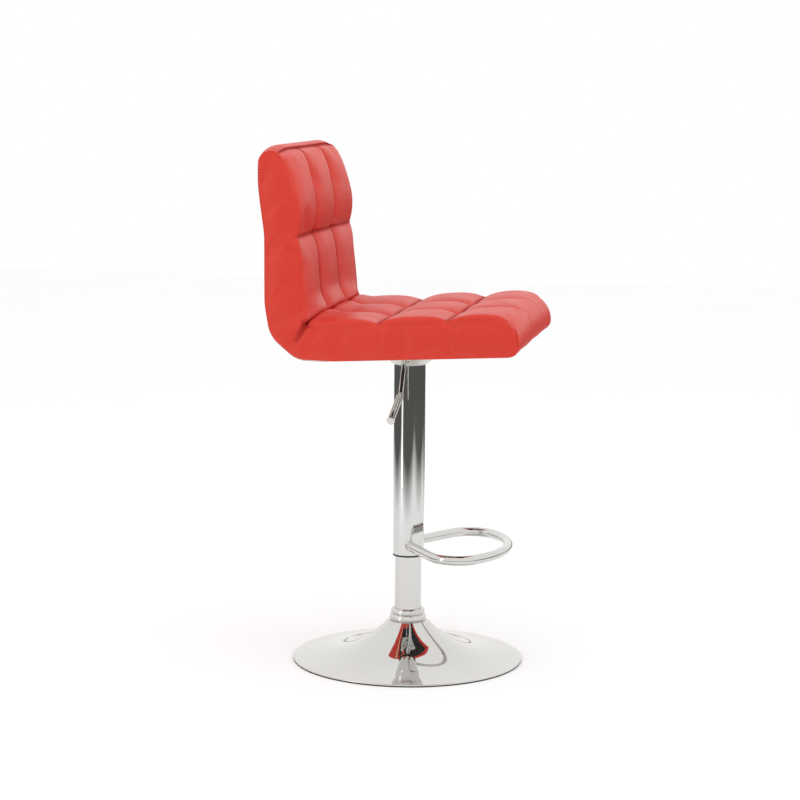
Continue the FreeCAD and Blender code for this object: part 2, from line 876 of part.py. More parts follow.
def padding_local():
    """All the foam in front of and above the wood, and round its edges."""
    whole = across(seat_outline(cover_thickness), seat_width / 2)
    return whole.cut(seat_shell_local()).cut(rear_pad_local())


def seat_side():
    """Everything in front of and below the slanting joint of seat and back pads."""
    side = block((-far, -far, -far), (far, 0, far))
    side.rotate(V(0, 0, 0), V(1, 0, 0), 45)
    side.translate(V(0, back_front, seat_thickness))
    return side


def seat_cushion():
    top = cover_thickness + ply_thickness + 2 * bolt_tail
    room = at_bolts(rod(nut_flange_radius + nut_room, 0, top))
    return placed(padding_local().common(seat_side()).cut(room))


def back_cushion():
    return placed(padding_local().cut(seat_side()))


def dust_cover_local():
    half, low, high = hem_window(dust_overlap)
    sheet = rounded_plate(half, low, high, -dust_thickness, 0, dust_overlap)
    return sheet.cut(at_bolts(rod(bolt_radius + bolt_hole_gap, -far, far)))


def staple_row(start, end):
    """Places and directions of the staples along one straight side."""
    way = end - start
    count = max(2, round(way.Length / staple_pitch))
    return [(start + way * ((i + 0.5) / count), way) for i in range(count)]


def staple(place, way):
    """A flat wire staple pushed up into the wood."""
    half = staple_crown / 2
    wire = staple_wire
    crown = block((-half, -wire / 2, -wire), (half, wire / 2, 0))
    left = block((-half, -wire / 2, 0), (-half + wire, wire / 2, staple_leg))
    right = block((half - wire, -wire / 2, 0), (half, wire / 2, staple_leg))
    shape = crown.fuse([left, right]).removeSplitter()
    shape.rotate(V(0, 0, 0), UP, degrees(atan2(way.y, way.x)))
    shape.translate(place)
    return shape


def cover_staples():
    half, low, high = hem_window(dust_overlap - staple_inset)
    z = -dust_thickness
    corners = [V(-half, low, z), V(half, low, z), V(half, high, z), V(-half, high, z)]
    shapes = []
    for start, end in zip(corners, corners[1:] + corners[:1]):
        shapes += [staple(place, way) for place, way in staple_row(start, end)]
    return placed(group(shapes))


# ---- Output -------------------------------------------------------------------------------
def parts():
    """Every node's name and shape."""
    return {
        "base_shell": base_shell(),
        "floor_ring": floor_ring(),
        "ballast_plate": ballast_plate(),
        "hub_socket": hub_socket(),
        "collar_ring": collar_ring(),
        "lift_tube": lift_tube(),
        "tube_end_plate": tube_end_plate(),
        "lift_guide": lift_guide(),
        "lower_race": lower_race(),
        "bearing_balls": group(balls(ball_radius)),
        "bearing_cage": bearing_cage(),
        "upper_race": upper_race(),
        "rubber_bumper": rubber_bumper(),
        "piston_rod": piston_rod(),
        "rod_clip": rod_clip(),
        "rod_washer": rod_washer(),
        "piston": piston(),
        "piston_seal": piston_seal(),
        "pressure_cylinder": pressure_cylinder(),
        "cylinder_gland": cylinder_gland(),
        "valve_body": valve_body(),
        "release_pin": release_pin(),
        "column_sleeve": column_sleeve(),
        "sleeve_bush": sleeve_bush(),
        "sleeve_cap": sleeve_cap(),
        "footrest": footrest(),
        "mounting_plate": mounting_plate(),
        "plate_hub": plate_hub(),
        "plate_bolts": plate_bolts(),
        "lock_washers": lock_washers(),
        "t_nuts": t_nuts(),
        "lever_rod": lever_rod(),
        "lever_grip": lever_grip(),
        "lever_tip_cap": lever_tip_cap(),
        "lever_boss": lever_boss(),
        "lever_bracket": lever_bracket(),
        "lever_pin": lever_pin(),
        "seat_shell": placed(seat_shell_local()),
        "seat_cushion": seat_cushion(),
        "back_cushion": back_cushion(),
        "rear_pad": placed(rear_pad_local()),
        "outer_cover": placed(outer_cover_local()),
        "dust_cover": placed(dust_cover_local()),
        "cover_staples": cover_staples(),
    }


os.makedirs("parts", exist_ok=True)
for name, shape in parts().items():
    shape.exportStep("parts/" + name + ".step")
    solids = shape.Solids
    print(f"{name:18s} solids {len(solids):2d} volume {sum(s.Volume for s in solids):12.1f}"
          f" valid {shape.isValid()}")
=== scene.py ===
import json
from math import cos, pi, radians, sin

import bpy
import numpy as np
from bpy.props import FloatProperty, FloatVectorProperty, PointerProperty
from mathutils import Matrix, Vector


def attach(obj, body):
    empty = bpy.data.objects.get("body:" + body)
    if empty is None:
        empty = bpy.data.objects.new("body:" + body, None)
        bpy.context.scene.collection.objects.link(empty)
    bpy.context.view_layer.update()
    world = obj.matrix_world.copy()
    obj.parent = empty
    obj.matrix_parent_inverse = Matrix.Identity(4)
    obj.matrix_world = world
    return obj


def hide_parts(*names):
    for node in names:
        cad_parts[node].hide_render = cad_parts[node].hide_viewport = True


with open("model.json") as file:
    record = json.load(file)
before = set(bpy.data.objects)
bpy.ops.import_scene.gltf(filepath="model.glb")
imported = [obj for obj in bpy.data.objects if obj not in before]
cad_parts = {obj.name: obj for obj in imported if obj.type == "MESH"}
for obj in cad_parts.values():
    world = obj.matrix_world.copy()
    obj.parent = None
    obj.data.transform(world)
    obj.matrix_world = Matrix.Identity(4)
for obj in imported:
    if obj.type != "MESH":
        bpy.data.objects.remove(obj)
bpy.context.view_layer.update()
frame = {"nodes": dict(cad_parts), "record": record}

bl_info = {
    "name": "Adjustable Swivel Stool",
    "version": (1, 0, 0),
    "blender": (4, 5, 0),
    "location": "View3D > Sidebar > Stool",
    "description": "Upholstery, finishes and stage for a quilted gas-lift stool",
    "category": "Add Mesh",
}

MM = 0.001
SEAT_TILT = radians(3.0)
SEAT_UNDERSIDE = 0.530

# The outline of the seat and back, seen from the side: y, height above the underside
# of the seat, and the rounding of each corner, in millimetres, before the seat is tilted.
NOSE_FOOT = (-212.0, 0.0, 20.0)
NOSE_TOP = (-213.0, 66.5, 36.0)
CREASE = (127.5, 60.5, 2.0)
BACK_BEND = (133.5, 255.0, 150.0)
CREST_FRONT = (150.0, 342.0, 27.0)
CREST_REAR = (198.5, 341.0, 25.0)
SHOULDER = (196.0, 285.0, 160.0)
WAIST = (188.5, 205.0, 160.0)
HIP = (194.0, 95.0, 120.0)
HEEL_REAR = (188.0, 43.0, 50.0)
HEEL_FOOT = (147.0, 4.5, 45.0)
UNDERSIDE = (90.0, 0.0, 200.0)
OUTLINE = (
    NOSE_FOOT, NOSE_TOP, CREASE, BACK_BEND, CREST_FRONT, CREST_REAR,
    SHOULDER, WAIST, HIP, HEEL_REAR, HEEL_FOOT, UNDERSIDE,
)
HEEL_MIDDLE = (163.0, 16.0)
OUTLINE_STEP = 0.4  # millimetres between the points of the outline
NORMAL_REACH = 0.0012


def placed(points):
    """Points of the untilted seat (x, y, height in metres) in the stool's own frame."""
    points = np.asarray(points, float)
    x, y, up = points[:, 0], points[:, 1], points[:, 2]
    c, s = cos(SEAT_TILT), sin(SEAT_TILT)
    return np.column_stack([x, y * c + up * s, SEAT_UNDERSIDE - y * s + up * c])


# ---- Outline ------------------------------------------------------------------------------
class Outline:
    """A closed line of straight runs and rounded corners, measured along its length."""

    def __init__(self, corners):
        points = []
        count = len(corners)
        for i, (y, h, radius) in enumerate(corners):
            here = np.array([y, h])
            before = np.array(corners[i - 1][:2]) - here
            after = np.array(corners[(i + 1) % count][:2]) - here
            way_in = -before / np.linalg.norm(before)
            way_out = after / np.linalg.norm(after)
            turn = np.arccos(np.clip(way_in @ way_out, -1, 1))
            reach = radius * np.tan(turn / 2)
            start = here - way_in * reach
            side = way_out - way_in
            centre = here + side / np.linalg.norm(side) * radius / cos(turn / 2)
            first = start - centre
            sign = np.sign(way_in[0] * way_out[1] - way_in[1] * way_out[0])
            parts = max(2, int(radius * turn / OUTLINE_STEP))
            for k in range(parts + 1):
                a = sign * turn * k / parts
                points.append(centre + np.array([
                    first[0] * cos(a) - first[1] * sin(a),
                    first[0] * sin(a) + first[1] * cos(a),
                ]))
        points.append(points[0])
        points = np.array(points) * MM
        gaps = np.linalg.norm(np.diff(points, axis=0), axis=1)
        length = np.concatenate([[0], np.cumsum(gaps)])
        self.whole = length[-1]
        self.length = np.linspace(0, self.whole, int(self.whole / (OUTLINE_STEP * MM)))
        even = [np.interp(self.length, length, points[:, k]) for k in (0, 1)]
        self.points = np.column_stack(even)

    def at(self, s):
        s = np.mod(s, self.whole)
        y = np.interp(s, self.length, self.points[:, 0])
        h = np.interp(s, self.length, self.points[:, 1])
        return np.column_stack([y, h])

    def outwards(self, s):
        way = self.at(s + NORMAL_REACH) - self.at(s - NORMAL_REACH)
        way /= np.linalg.norm(way, axis=1)[:, None]
        return np.column_stack([-way[:, 1], way[:, 0]])

    def nearest(self, y, h, after=0.0):
        """How far along the point nearest to (y, h) millimetres is, past a given length."""
        far = np.hypot(self.points[:, 0] - y * MM, self.points[:, 1] - h * MM)
        far = np.where(self.length >= after, far, np.inf)
        return self.length[int(np.argmin(far))]


def graded(fine, coarse, ramp, length, samples=400):
    """Places from 0 to 1 along a length, close together at both ends."""
    x = np.linspace(0, length, samples)
    near = np.minimum(x, length - x)
    gap = fine + (coarse - fine) * np.clip(near / ramp, 0, 1)
    total = np.concatenate([[0], np.cumsum((1 / gap[1:] + 1 / gap[:-1]) / 2 * np.diff(x))])
    count = max(2, int(round(total[-1])))
    return np.interp(np.linspace(0, total[-1], count + 1), total, x) / length


def bump_at(distance, width):
    """1 at no distance, and about a third at the width."""
    return np.exp(-((distance / width) ** 2))


def pillow(u, power):
    """1 over most of a cell, falling to 0 at both of its edges."""
    return 1 - np.abs(2 * np.clip(u, 0, 1) - 1) ** power


def ripple(along, seed, waves=5, shortest=0.009, longest=0.021):
    """A gathering of the cover along a seam, from a few waves of fixed random phase."""
    rng = np.random.default_rng(seed)
    total = np.zeros_like(along)
    for _ in range(waves):
        length = rng.uniform(shortest, longest)
        total += rng.uniform(0.4, 1.0) * np.sin(2 * pi * along / length + rng.uniform(0, 2 * pi))
    return total / waves


# ---- Meshes -------------------------------------------------------------------------------
def mesh_object(name, points, faces, attributes=None):
    mesh = bpy.data.meshes.new(name)
    mesh.from_pydata(np.asarray(points, float).tolist(), [], faces)
    mesh.validate()
    mesh.update()
    for key, values in (attributes or {}).items():
        field = mesh.attributes.new(key, "FLOAT", "POINT")
        field.data.foreach_set("value", np.asarray(values, np.float32))
    piece = bpy.data.objects.new(name, mesh)
    bpy.context.scene.collection.objects.link(piece)
    return piece


def signed_volume(points, faces):
    total = 0.0
    for face in faces:
        a = points[face[0]]
        for i in range(1, len(face) - 1):
            total += np.dot(a, np.cross(points[face[i]], points[face[i + 1]]))
    return total / 6


def outward_faces(points, faces):
    if signed_volume(points, faces) < 0:
        return [tuple(reversed(face)) for face in faces]
    return faces


def flattened(piece):
    """The piece with its modifiers applied and removed."""
    view = bpy.context.evaluated_depsgraph_get()
    view.update()
    mesh = bpy.data.meshes.new_from_object(piece.evaluated_get(view))
    old = piece.data
    piece.modifiers.clear()
    piece.data = mesh
    mesh.name = piece.name
    bpy.data.meshes.remove(old)
    return piece


def smooth(piece):
    piece.data.polygons.foreach_set("use_smooth", [True] * len(piece.data.polygons))
    piece.data.update()
    return piece


def vertex_places(piece):
    flat = np.zeros(len(piece.data.vertices) * 3)
    piece.data.vertices.foreach_get("co", flat)
    return flat.reshape(-1, 3)


# ---- Shader groups ------------------------------------------------------------------------
def join(tree, source, target):
    tree.links.new(source, target)


def effect_group(name, inputs, outputs):
    """A shader node group with named float inputs and typed outputs."""
    group = bpy.data.node_groups.new(name, "ShaderNodeTree")
    for key, value in inputs.items():
        socket = group.interface.new_socket(key, in_out="INPUT", socket_type="NodeSocketFloat")
        socket.default_value = value
    for key, kind in outputs.items():
        group.interface.new_socket(key, in_out="OUTPUT", socket_type=kind)
    entry = group.nodes.new("NodeGroupInput")
    leave = group.nodes.new("NodeGroupOutput")
    return group, entry, leave


def feed(tree, value, socket):
    """Joins another socket to this one, or sets its constant."""
    if hasattr(value, "is_output"):
        join(tree, value, socket)
    else:
        socket.default_value = value


def arithmetic(tree, how, first, second=0.0):
    node = tree.nodes.new("ShaderNodeMath")
    node.operation = how
    feed(tree, first, node.inputs[0])
    feed(tree, second, node.inputs[1])
    return node.outputs[0]


def noise(tree, vector, scale, detail=2.0, roughness=0.5):
    node = tree.nodes.new("ShaderNodeTexNoise")
    for key, value in (
        ("Vector", vector), ("Scale", scale), ("Detail", detail), ("Roughness", roughness),
    ):
        feed(tree, value, node.inputs[key])
    return node.outputs["Fac"]


def voronoi(tree, vector, scale):
    node = tree.nodes.new("ShaderNodeTexVoronoi")
    feed(tree, scale, node.inputs["Scale"])
    join(tree, vector, node.inputs["Vector"])
    return node.outputs["Distance"]


def span(tree, value, low, high, to_low=0.0, to_high=1.0):
    node = tree.nodes.new("ShaderNodeMapRange")
    node.clamp = True
    for key, amount in (
        ("Value", value), ("From Min", low), ("From Max", high),
        ("To Min", to_low), ("To Max", to_high),
    ):
        feed(tree, amount, node.inputs[key])
    return node.outputs["Result"]


def object_coordinates(tree):
    return tree.nodes.new("ShaderNodeTexCoord").outputs["Object"]


def hide_grain_group():
    """The fine pebble of a coated hide: its height and where its pores are."""
    group, entry, leave = effect_group(
        "hide_grain",
        {"Pebbles": 620.0, "Softness": 0.5},
        {"Height": "NodeSocketFloat", "Pores": "NodeSocketFloat"},
    )
    where = object_coordinates(group)
    pebble = voronoi(group, where, entry.outputs["Pebbles"])
    fine = noise(group, where, 1500.0, 3.0)
    broad = noise(group, where, 190.0, 2.0)
    height = arithmetic(group, "MULTIPLY", pebble, -1.0)
    height = arithmetic(group, "ADD", height, arithmetic(group, "MULTIPLY", fine, 0.35))
    broad = arithmetic(group, "MULTIPLY", broad, entry.outputs["Softness"])
    height = arithmetic(group, "ADD", height, broad)
    pores = span(group, pebble, 0.45, 0.75)
    join(group, height, leave.inputs["Height"])
    join(group, pores, leave.inputs["Pores"])
    return group


def plate_wear_group():
    """Fine wiping marks and haze on a bright plated surface."""
    group, entry, leave = effect_group(
        "plate_wear",
        {"Polish": 0.04, "Haze": 0.05},
        {"Roughness": "NodeSocketFloat", "Height": "NodeSocketFloat"},
    )
    where = object_coordinates(group)
    haze = noise(group, where, 14.0, 4.0, 0.6)
    marks = noise(group, where, 420.0, 2.0, 0.7)
    spread = span(group, haze, 0.45, 0.8, 0.0, entry.outputs["Haze"])
    rough = arithmetic(group, "ADD", entry.outputs["Polish"], spread)
    marks_light = span(group, marks, 0.55, 0.9, 0.0, 0.03)
    join(group, arithmetic(group, "ADD", rough, marks_light), leave.inputs["Roughness"])
    join(group, marks, leave.inputs["Height"])
    return group


def speckle_group():
    """Unevenness of a moulded, painted or pressed surface, as height and as a 0 to 1 mask."""
    group, entry, leave = effect_group(
        "speckle",
        {"Grain": 400.0, "Patches": 18.0},
        {"Height": "NodeSocketFloat", "Mask": "NodeSocketFloat"},
    )
    where = object_coordinates(group)
    fine = noise(group, where, entry.outputs["Grain"], 3.0, 0.6)
    broad = noise(group, where, entry.outputs["Patches"], 3.0, 0.55)
    join(group, fine, leave.inputs["Height"])
    join(group, span(group, broad, 0.35, 0.65), leave.inputs["Mask"])
    return group


GROUPS = {}


def group_node(tree, name, **values):
    makers = {
        "hide_grain": hide_grain_group,
        "plate_wear": plate_wear_group,
        "speckle": speckle_group,
    }
    if name not in GROUPS:
        GROUPS[name] = makers[name]()
    node = tree.nodes.new("ShaderNodeGroup")
    node.node_tree = GROUPS[name]
    for key, value in values.items():
        node.inputs[key].default_value = value
    return node


# ---- Materials ----------------------------------------------------------------------------
def new_material(name):
    material = bpy.data.materials.new(name)
    material.use_nodes = True
    tree = material.node_tree
    shader = tree.nodes["Principled BSDF"]
    return material, tree, shader


def mix_colour(tree, factor, first, second):
    node = tree.nodes.new("ShaderNodeMix")
    node.data_type = "RGBA"
    feed(tree, factor, node.inputs[0])
    for number, colour in ((6, first), (7, second)):
        feed(tree, (*colour, 1.0) if isinstance(colour, tuple) else colour, node.inputs[number])
    return node.outputs[2]


def bumped(tree, shader, height, distance):
    node = tree.nodes.new("ShaderNodeBump")
    node.inputs["Distance"].default_value = distance
    node.inputs["Strength"].default_value = 1.0
    join(tree, height, node.inputs["Height"])
    join(tree, node.outputs["Normal"], shader.inputs["Normal"])


SHADE_AND_PORE_SHARE = (0.55, 0.15, 0.10)  # painted shade down in a seam, also the colour of the pores, as shares of the hide's own colour
PALE_SHARE, PALE_LIFT = (1.03, 1.08, 1.08), (0, 0.002, 0.002)
WARM_SHARE = (0.985, 0.97, 0.95)


def leather_material(settings):
    """Coated red hide: pebbled, paler in random patches, and darker down in the seams and the
    crease as painted shade.
    """
    material, tree, shader = new_material("red_coated_hide")
    where = object_coordinates(tree)
    depth = tree.nodes.new("ShaderNodeAttribute")
    depth.attribute_name = "painted_seam_shade"
    colour = tuple(settings.hide_colour)
    shaded = tuple(c * k for c, k in zip(colour, SHADE_AND_PORE_SHARE))
    pale = tuple(min(1.0, c * k + a) for c, k, a in zip(colour, PALE_SHARE, PALE_LIFT))
    patches = span(tree, noise(tree, where, 11.0, 4.0, 0.6), 0.35, 0.7)
    base = mix_colour(tree, patches, colour, pale)
    # Painted shade: the mesh attribute darkens the hide down in the seams, at their crossings, in
    # the crease and along the crest seam.
    base = mix_colour(tree, depth.outputs["Fac"], base, shaded)
    grain = group_node(tree, "hide_grain", Pebbles=settings.grain_per_metre)
    pores = arithmetic(tree, "MULTIPLY", grain.outputs["Pores"], 0.22)
    base = mix_colour(tree, pores, base, shaded)
    join(tree, base, shader.inputs["Base Color"])
    rough = span(tree, noise(tree, where, 26.0, 3.0), 0.3, 0.7, 0.38, 0.46)
    matt = arithmetic(tree, "MULTIPLY", depth.outputs["Fac"], 0.45)
    join(tree, arithmetic(tree, "ADD", rough, matt), shader.inputs["Roughness"])
    shader.inputs["Specular IOR Level"].default_value = 0.42
    bumped(tree, shader, grain.outputs["Height"], settings.grain_depth)
    return material


def thread_material(settings):
    material, tree, shader = new_material("seam_thread")
    colour = tuple(settings.thread_colour)
    twist = tree.nodes.new("ShaderNodeTexWave")
    twist.inputs["Scale"].default_value = 900.0
    twist.inputs["Distortion"].default_value = 1.5
    join(tree, object_coordinates(tree), twist.inputs["Vector"])
    # Painted shade: the hollows of the twist are darkened, along the same waves that raise its
    # bump.
    dark = tuple(c * 0.6 for c in colour)
    join(tree, mix_colour(tree, twist.outputs["Fac"], dark, colour), shader.inputs["Base Color"])
    shader.inputs["Roughness"].default_value = 0.6
    bumped(tree, shader, twist.outputs["Fac"], 0.00008)
    return material


def chrome_material(settings):
    material, tree, shader = new_material("polished_chrome")
    wear = group_node(tree, "plate_wear", Polish=settings.chrome_polish, Haze=0.03)
    patches = group_node(tree, "speckle", Grain=300.0, Patches=6.0)
    colour = tuple(settings.chrome_colour)
    warm = tuple(c * k for c, k in zip(colour, WARM_SHARE))
    plating = mix_colour(tree, patches.outputs["Mask"], colour, warm)
    join(tree, plating, shader.inputs["Base Color"])
    shader.inputs["Metallic"].default_value = 1.0
    join(tree, wear.outputs["Roughness"], shader.inputs["Roughness"])
    bumped(tree, shader, wear.outputs["Height"], 0.000004)
    return material


def metal_material(name, colour, dark, rough, grain, depth, metallic=1.0):
    """Zinc, ground steel, paint or plastic: a mottled colour with a fine uneven surface."""
    material, tree, shader = new_material(name)
    marks = group_node(tree, "speckle", Grain=grain, Patches=20.0)
    mask = marks.outputs["Mask"]
    join(tree, mix_colour(tree, mask, dark, colour), shader.inputs["Base Color"])
    shader.inputs["Metallic"].default_value = metallic
    join(tree, span(tree, mask, 0.0, 1.0, *rough), shader.inputs["Roughness"])
    bumped(tree, shader, marks.outputs["Height"], depth)
    return material


def plywood_material():
    material, tree, shader = new_material("beech_plywood")
    where = object_coordinates(tree)
    plies = tree.nodes.new("ShaderNodeTexWave")
    plies.bands_direction = "Z"
    plies.inputs["Scale"].default_value = 105.0
    plies.inputs["Distortion"].default_value = 0.6
    join(tree, where, plies.inputs["Vector"])
    stretch = tree.nodes.new("ShaderNodeMapping")
    stretch.inputs["Scale"].default_value = (18.0, 240.0, 240.0)
    join(tree, where, stretch.inputs["Vector"])
    figure = noise(tree, stretch.outputs["Vector"], 1.0, 4.0, 0.6)
    wood = mix_colour(tree, figure, (0.52, 0.36, 0.20), (0.72, 0.55, 0.36))
    wood = mix_colour(tree, plies.outputs["Fac"], (0.40, 0.27, 0.15), wood)
    join(tree, wood, shader.inputs["Base Color"])
    shader.inputs["Roughness"].default_value = 0.62
    bumped(tree, shader, figure, 0.00012)
    return material


def cloth_material():
    """Spunbonded lining: crossed fibres, matt black."""
    material, tree, shader = new_material("black_lining")
    where = object_coordinates(tree)
    fibres = noise(tree, where, 900.0, 5.0, 0.8)
    dots = voronoi(tree, where, 520.0)
    fleck = span(tree, fibres, 0.45, 0.75)
    black = mix_colour(tree, fleck, (0.012, 0.012, 0.013), (0.05, 0.05, 0.055))
    join(tree, black, shader.inputs["Base Color"])
    shader.inputs["Roughness"].default_value = 0.9
    bumped(tree, shader, arithmetic(tree, "ADD", fibres, dots), 0.0002)
    return material


def foam_material():
    material, tree, shader = new_material("cream_foam")
    cells = voronoi(tree, object_coordinates(tree), 900.0)
    cream = mix_colour(tree, cells, (0.8, 0.75, 0.6), (0.6, 0.54, 0.38))
    join(tree, cream, shader.inputs["Base Color"])
    shader.inputs["Roughness"].default_value = 0.95
    bumped(tree, shader, cells, 0.0004)
    return material


MATERIALS = {}


def material_of(key):
    """The finish of that name, made the first time it is asked for."""
    if key in MATERIALS:
        return MATERIALS[key]
    hide = bpy.context.scene.stool_upholstery
    metal = bpy.context.scene.stool_metal
    makers = {
        "hide": lambda: leather_material(hide),
        "thread": lambda: thread_material(hide),
        "chrome": lambda: chrome_material(metal),
        "zinc": lambda: metal_material(
            "zinc_plate", (0.74, 0.74, 0.70), (0.60, 0.59, 0.54), (0.22, 0.38), 350.0, 0.00003),
        "steel": lambda: metal_material(
            "ground_steel", (0.62, 0.62, 0.63), (0.46, 0.46, 0.48), (0.18, 0.3), 700.0, 0.00001),
        "paint": lambda: metal_material(
            "black_paint", (0.022, 0.022, 0.024), (0.012, 0.012, 0.013), (0.3, 0.45), 260.0,
            0.00005, metallic=0.0),
        "black_plastic": lambda: metal_material(
            "black_moulding", (0.02, 0.02, 0.021), (0.011, 0.011, 0.012), (0.42, 0.55), 520.0,
            0.00004, metallic=0.0),
        "grey_plastic": lambda: metal_material(
            "grey_moulding", (0.62, 0.62, 0.60), (0.54, 0.54, 0.52), (0.3, 0.42), 480.0,
            0.00004, metallic=0.0),
        "rubber": lambda: metal_material(
            "black_rubber", (0.018, 0.018, 0.018), (0.01, 0.01, 0.01), (0.6, 0.78), 300.0,
            0.0001, metallic=0.0),
        "plywood": plywood_material,
        "lining": cloth_material,
        "foam": foam_material,
    }
    MATERIALS[key] = makers[key]()
    return MATERIALS[key]


FINISH_OF_SLOT = {
    "chrome": "chrome",
    "zinc_steel": "zinc",
    "ground_steel": "steel",
    "black_paint": "paint",
    "black_plastic": "black_plastic",
    "grey_plastic": "grey_plastic",
    "rubber": "rubber",
    "plywood": "plywood",
    "red_leather": "hide",
    "padded_leather": "hide",
    "foam": "foam",
    "black_cloth": "lining",
}


# ---- Settings -----------------------------------------------------------------------------
class StoolUpholsterySettings(bpy.types.PropertyGroup):
    half_width: FloatProperty(
        name="Half width", description="From the middle to the side of the seat",
        default=0.2035, unit="LENGTH")
    column_seam: FloatProperty(
        name="Column seam", description="From the middle to each lengthwise seam",
        default=0.068, unit="LENGTH")
    edge_round: FloatProperty(
        name="Edge rounding", description="Radius of the padded edge of seat and back",
        default=0.0055, unit="LENGTH")
    seam_sink: FloatProperty(
        name="Seam sink", description="How far a sewn line pulls the padding in",
        default=0.0034, unit="LENGTH")
    tuft: FloatProperty(
        name="Tuft", description="How much deeper it is where two sewn lines cross",
        default=0.0054, unit="LENGTH")
    groove: FloatProperty(
        name="Groove", description="Depth of the narrow valley down at each seam",
        default=0.0026, unit="LENGTH")
    band_dent: FloatProperty(
        name="Band dent", description="Depth of the hollow beside the face of the back",
        default=0.0016, unit="LENGTH")
    corner_drop: FloatProperty(
        name="Corner drop", description="How far the crest falls away at its two ends",
        default=0.010, unit="LENGTH")
    nose_drop: FloatProperty(
        name="Nose drop", description="How far the front edge falls away at its two ends",
        default=0.006, unit="LENGTH")
    crease_roll: FloatProperty(
        name="Crease roll", description="Height of the rolls that meet between seat and back",
        default=0.0125, unit="LENGTH")
    edge_fullness: FloatProperty(
        name="Edge fullness", description="How far each cell stands out at its outer edge",
        default=0.0034, unit="LENGTH")
    band_crown: FloatProperty(
        name="Band crown", description="How far the side band bulges",
        default=0.002, unit="LENGTH")
    gathers: FloatProperty(
        name="Gathers", description="Height of the gathers beside the seams",
        default=0.0004, unit="LENGTH")
    pressure: FloatProperty(
        name="Pressure", description="Pressure that fills the pads", default=4.0)
    seat_swell: FloatProperty(
        name="Seat swell", description="How far the seat's cells stand out of their seams",
        default=0.0042, unit="LENGTH")
    lower_swell: FloatProperty(
        name="Lower swell", description="How far the lower cells of the back stand out",
        default=0.0052, unit="LENGTH")
    upper_swell: FloatProperty(
        name="Upper swell", description="How far the upper cells of the back stand out",
        default=0.0080, unit="LENGTH")
    band_swell: FloatProperty(
        name="Band swell", description="How far the side band stands out",
        default=0.0020, unit="LENGTH")
    stitch_pitch: FloatProperty(
        name="Stitch pitch", description="Distance from stitch to stitch",
        default=0.0046, unit="LENGTH")
    stitch_length: FloatProperty(
        name="Stitch length", description="Length of thread on show in each stitch",
        default=0.0034, unit="LENGTH")
    thread_radius: FloatProperty(
        name="Thread radius", description="Half the thickness of the thread",
        default=0.0004, unit="LENGTH")
    grain_per_metre: FloatProperty(
        name="Grain", description="Pebbles of the hide in a metre", default=620.0)
    grain_depth: FloatProperty(
        name="Grain depth", description="Depth of the hide's pebble",
        default=0.00022, unit="LENGTH", precision=5)
    hide_colour: FloatVectorProperty(
        name="Hide colour", description="Colour of the cover", subtype="COLOR",
        default=(0.62, 0.026, 0.009), min=0, max=1)
    thread_colour: FloatVectorProperty(
        name="Thread colour", description="Colour of the thread", subtype="COLOR",
        default=(0.36, 0.02, 0.015), min=0, max=1)


class StoolMetalSettings(bpy.types.PropertyGroup):
    chrome_colour: FloatVectorProperty(
        name="Chrome colour", description="Colour of the bright plating", subtype="COLOR",
        default=(0.63, 0.628, 0.62), min=0, max=1)
    chrome_polish: FloatProperty(
        name="Chrome polish", description="Roughness of the bright plating", default=0.035)


class StoolStageSettings(bpy.types.PropertyGroup):
    camera_azimuth: FloatProperty(
        name="Camera azimuth", description="Side that the camera stands on",
        default=radians(-79.62), subtype="ANGLE")
    camera_distance: FloatProperty(
        name="Camera distance", description="From the column to the camera, level",
        default=3.7209, unit="LENGTH")
    camera_height: FloatProperty(
        name="Camera height", description="Camera above the floor",
        default=0.9768, unit="LENGTH")
    camera_pitch: FloatProperty(
        name="Camera pitch", description="How far the camera looks down",
        default=radians(8.22), subtype="ANGLE")
    camera_yaw: FloatProperty(
        name="Camera yaw", description="How far the camera looks beside the column",
        default=radians(0.248), subtype="ANGLE")
    camera_roll: FloatProperty(
        name="Camera roll", description="Lean of the camera",
        default=radians(0.478), subtype="ANGLE")
    camera_lens: FloatProperty(
        name="Camera lens", description="Focal length in millimetres", default=101.64)
    floor_half: FloatProperty(
        name="Floor", description="Half the width of the floor", default=7.0, unit="LENGTH")
    pool_length: FloatProperty(
        name="Light pool length", description="Half length of the light that mirrors show",
        default=1.5, unit="LENGTH")
    pool_width: FloatProperty(
        name="Light pool width", description="Half width of the light that mirrors show",
        default=1.6, unit="LENGTH")
    ambient: FloatProperty(
        name="Ambient", description="Strength of the light from all round", default=1.0)


# ---- Upholstery ---------------------------------------------------------------------------
# Places near which the seams and the edges of the sides lie on the outline, in millimetres.
CROSS_SEAMS, SEAT_TOP = (-99.0, 12.0), 66.0
BACK_SEAM, FACE_OF_BACK, REAR_OF_BACK = 199.0, 132.0, 192.0
NOSE_SEAM = (-198.0, 60.0)
TOP_SEAM = (160.0, 335.0)
REAR_EDGE = (197.0, 318.0)
FOOT_EDGE = (-196.0, 0.0)
CREST_MIDDLE = (172.0, 342.0)
NOSE_MIDDLE = (-203.0, 56.0)

CELL_FULLNESS = (0.9, 1.1, 1.1, 0.15, 0.6)  # from the front of the seat to the crest
EDGE_STEPS = 6
SIDE_ROWS = 15

# The mesh, in metres: finest gap at a seam, widest gap, and the run between the two.
CELL_STEPS = (0.0014, 0.0062, 0.018)
COLUMN_STEPS = (0.0014, 0.0066, 0.018)
AT_SEAM = 0.0008

# Widths of what sewing does to the padding, in metres.
HOLLOW_WIDTH, GROOVE_WIDTH, CROSSING_WIDTH, SHADE_WIDTH = 0.014, 0.0020, 0.024, 0.0030
GATHER_OFFSET, GATHER_WIDTH = 0.004, 0.009
CREST_GROOVE, CREST_GROOVE_WIDTH = 0.0022, 0.0026
CREST_HOLLOW, CREST_HOLLOW_WIDTH = 0.0012, 0.010
CREST_GATHER_OFFSET, CREST_GATHER_WIDTH, CREST_SHADE = 0.003, 0.008, 0.6
NOSE_FADE = 0.040  # how far behind the front edge the lengthwise seams reach full depth
SIDE_DEPTH = 0.066  # from the face of the padding to its far side


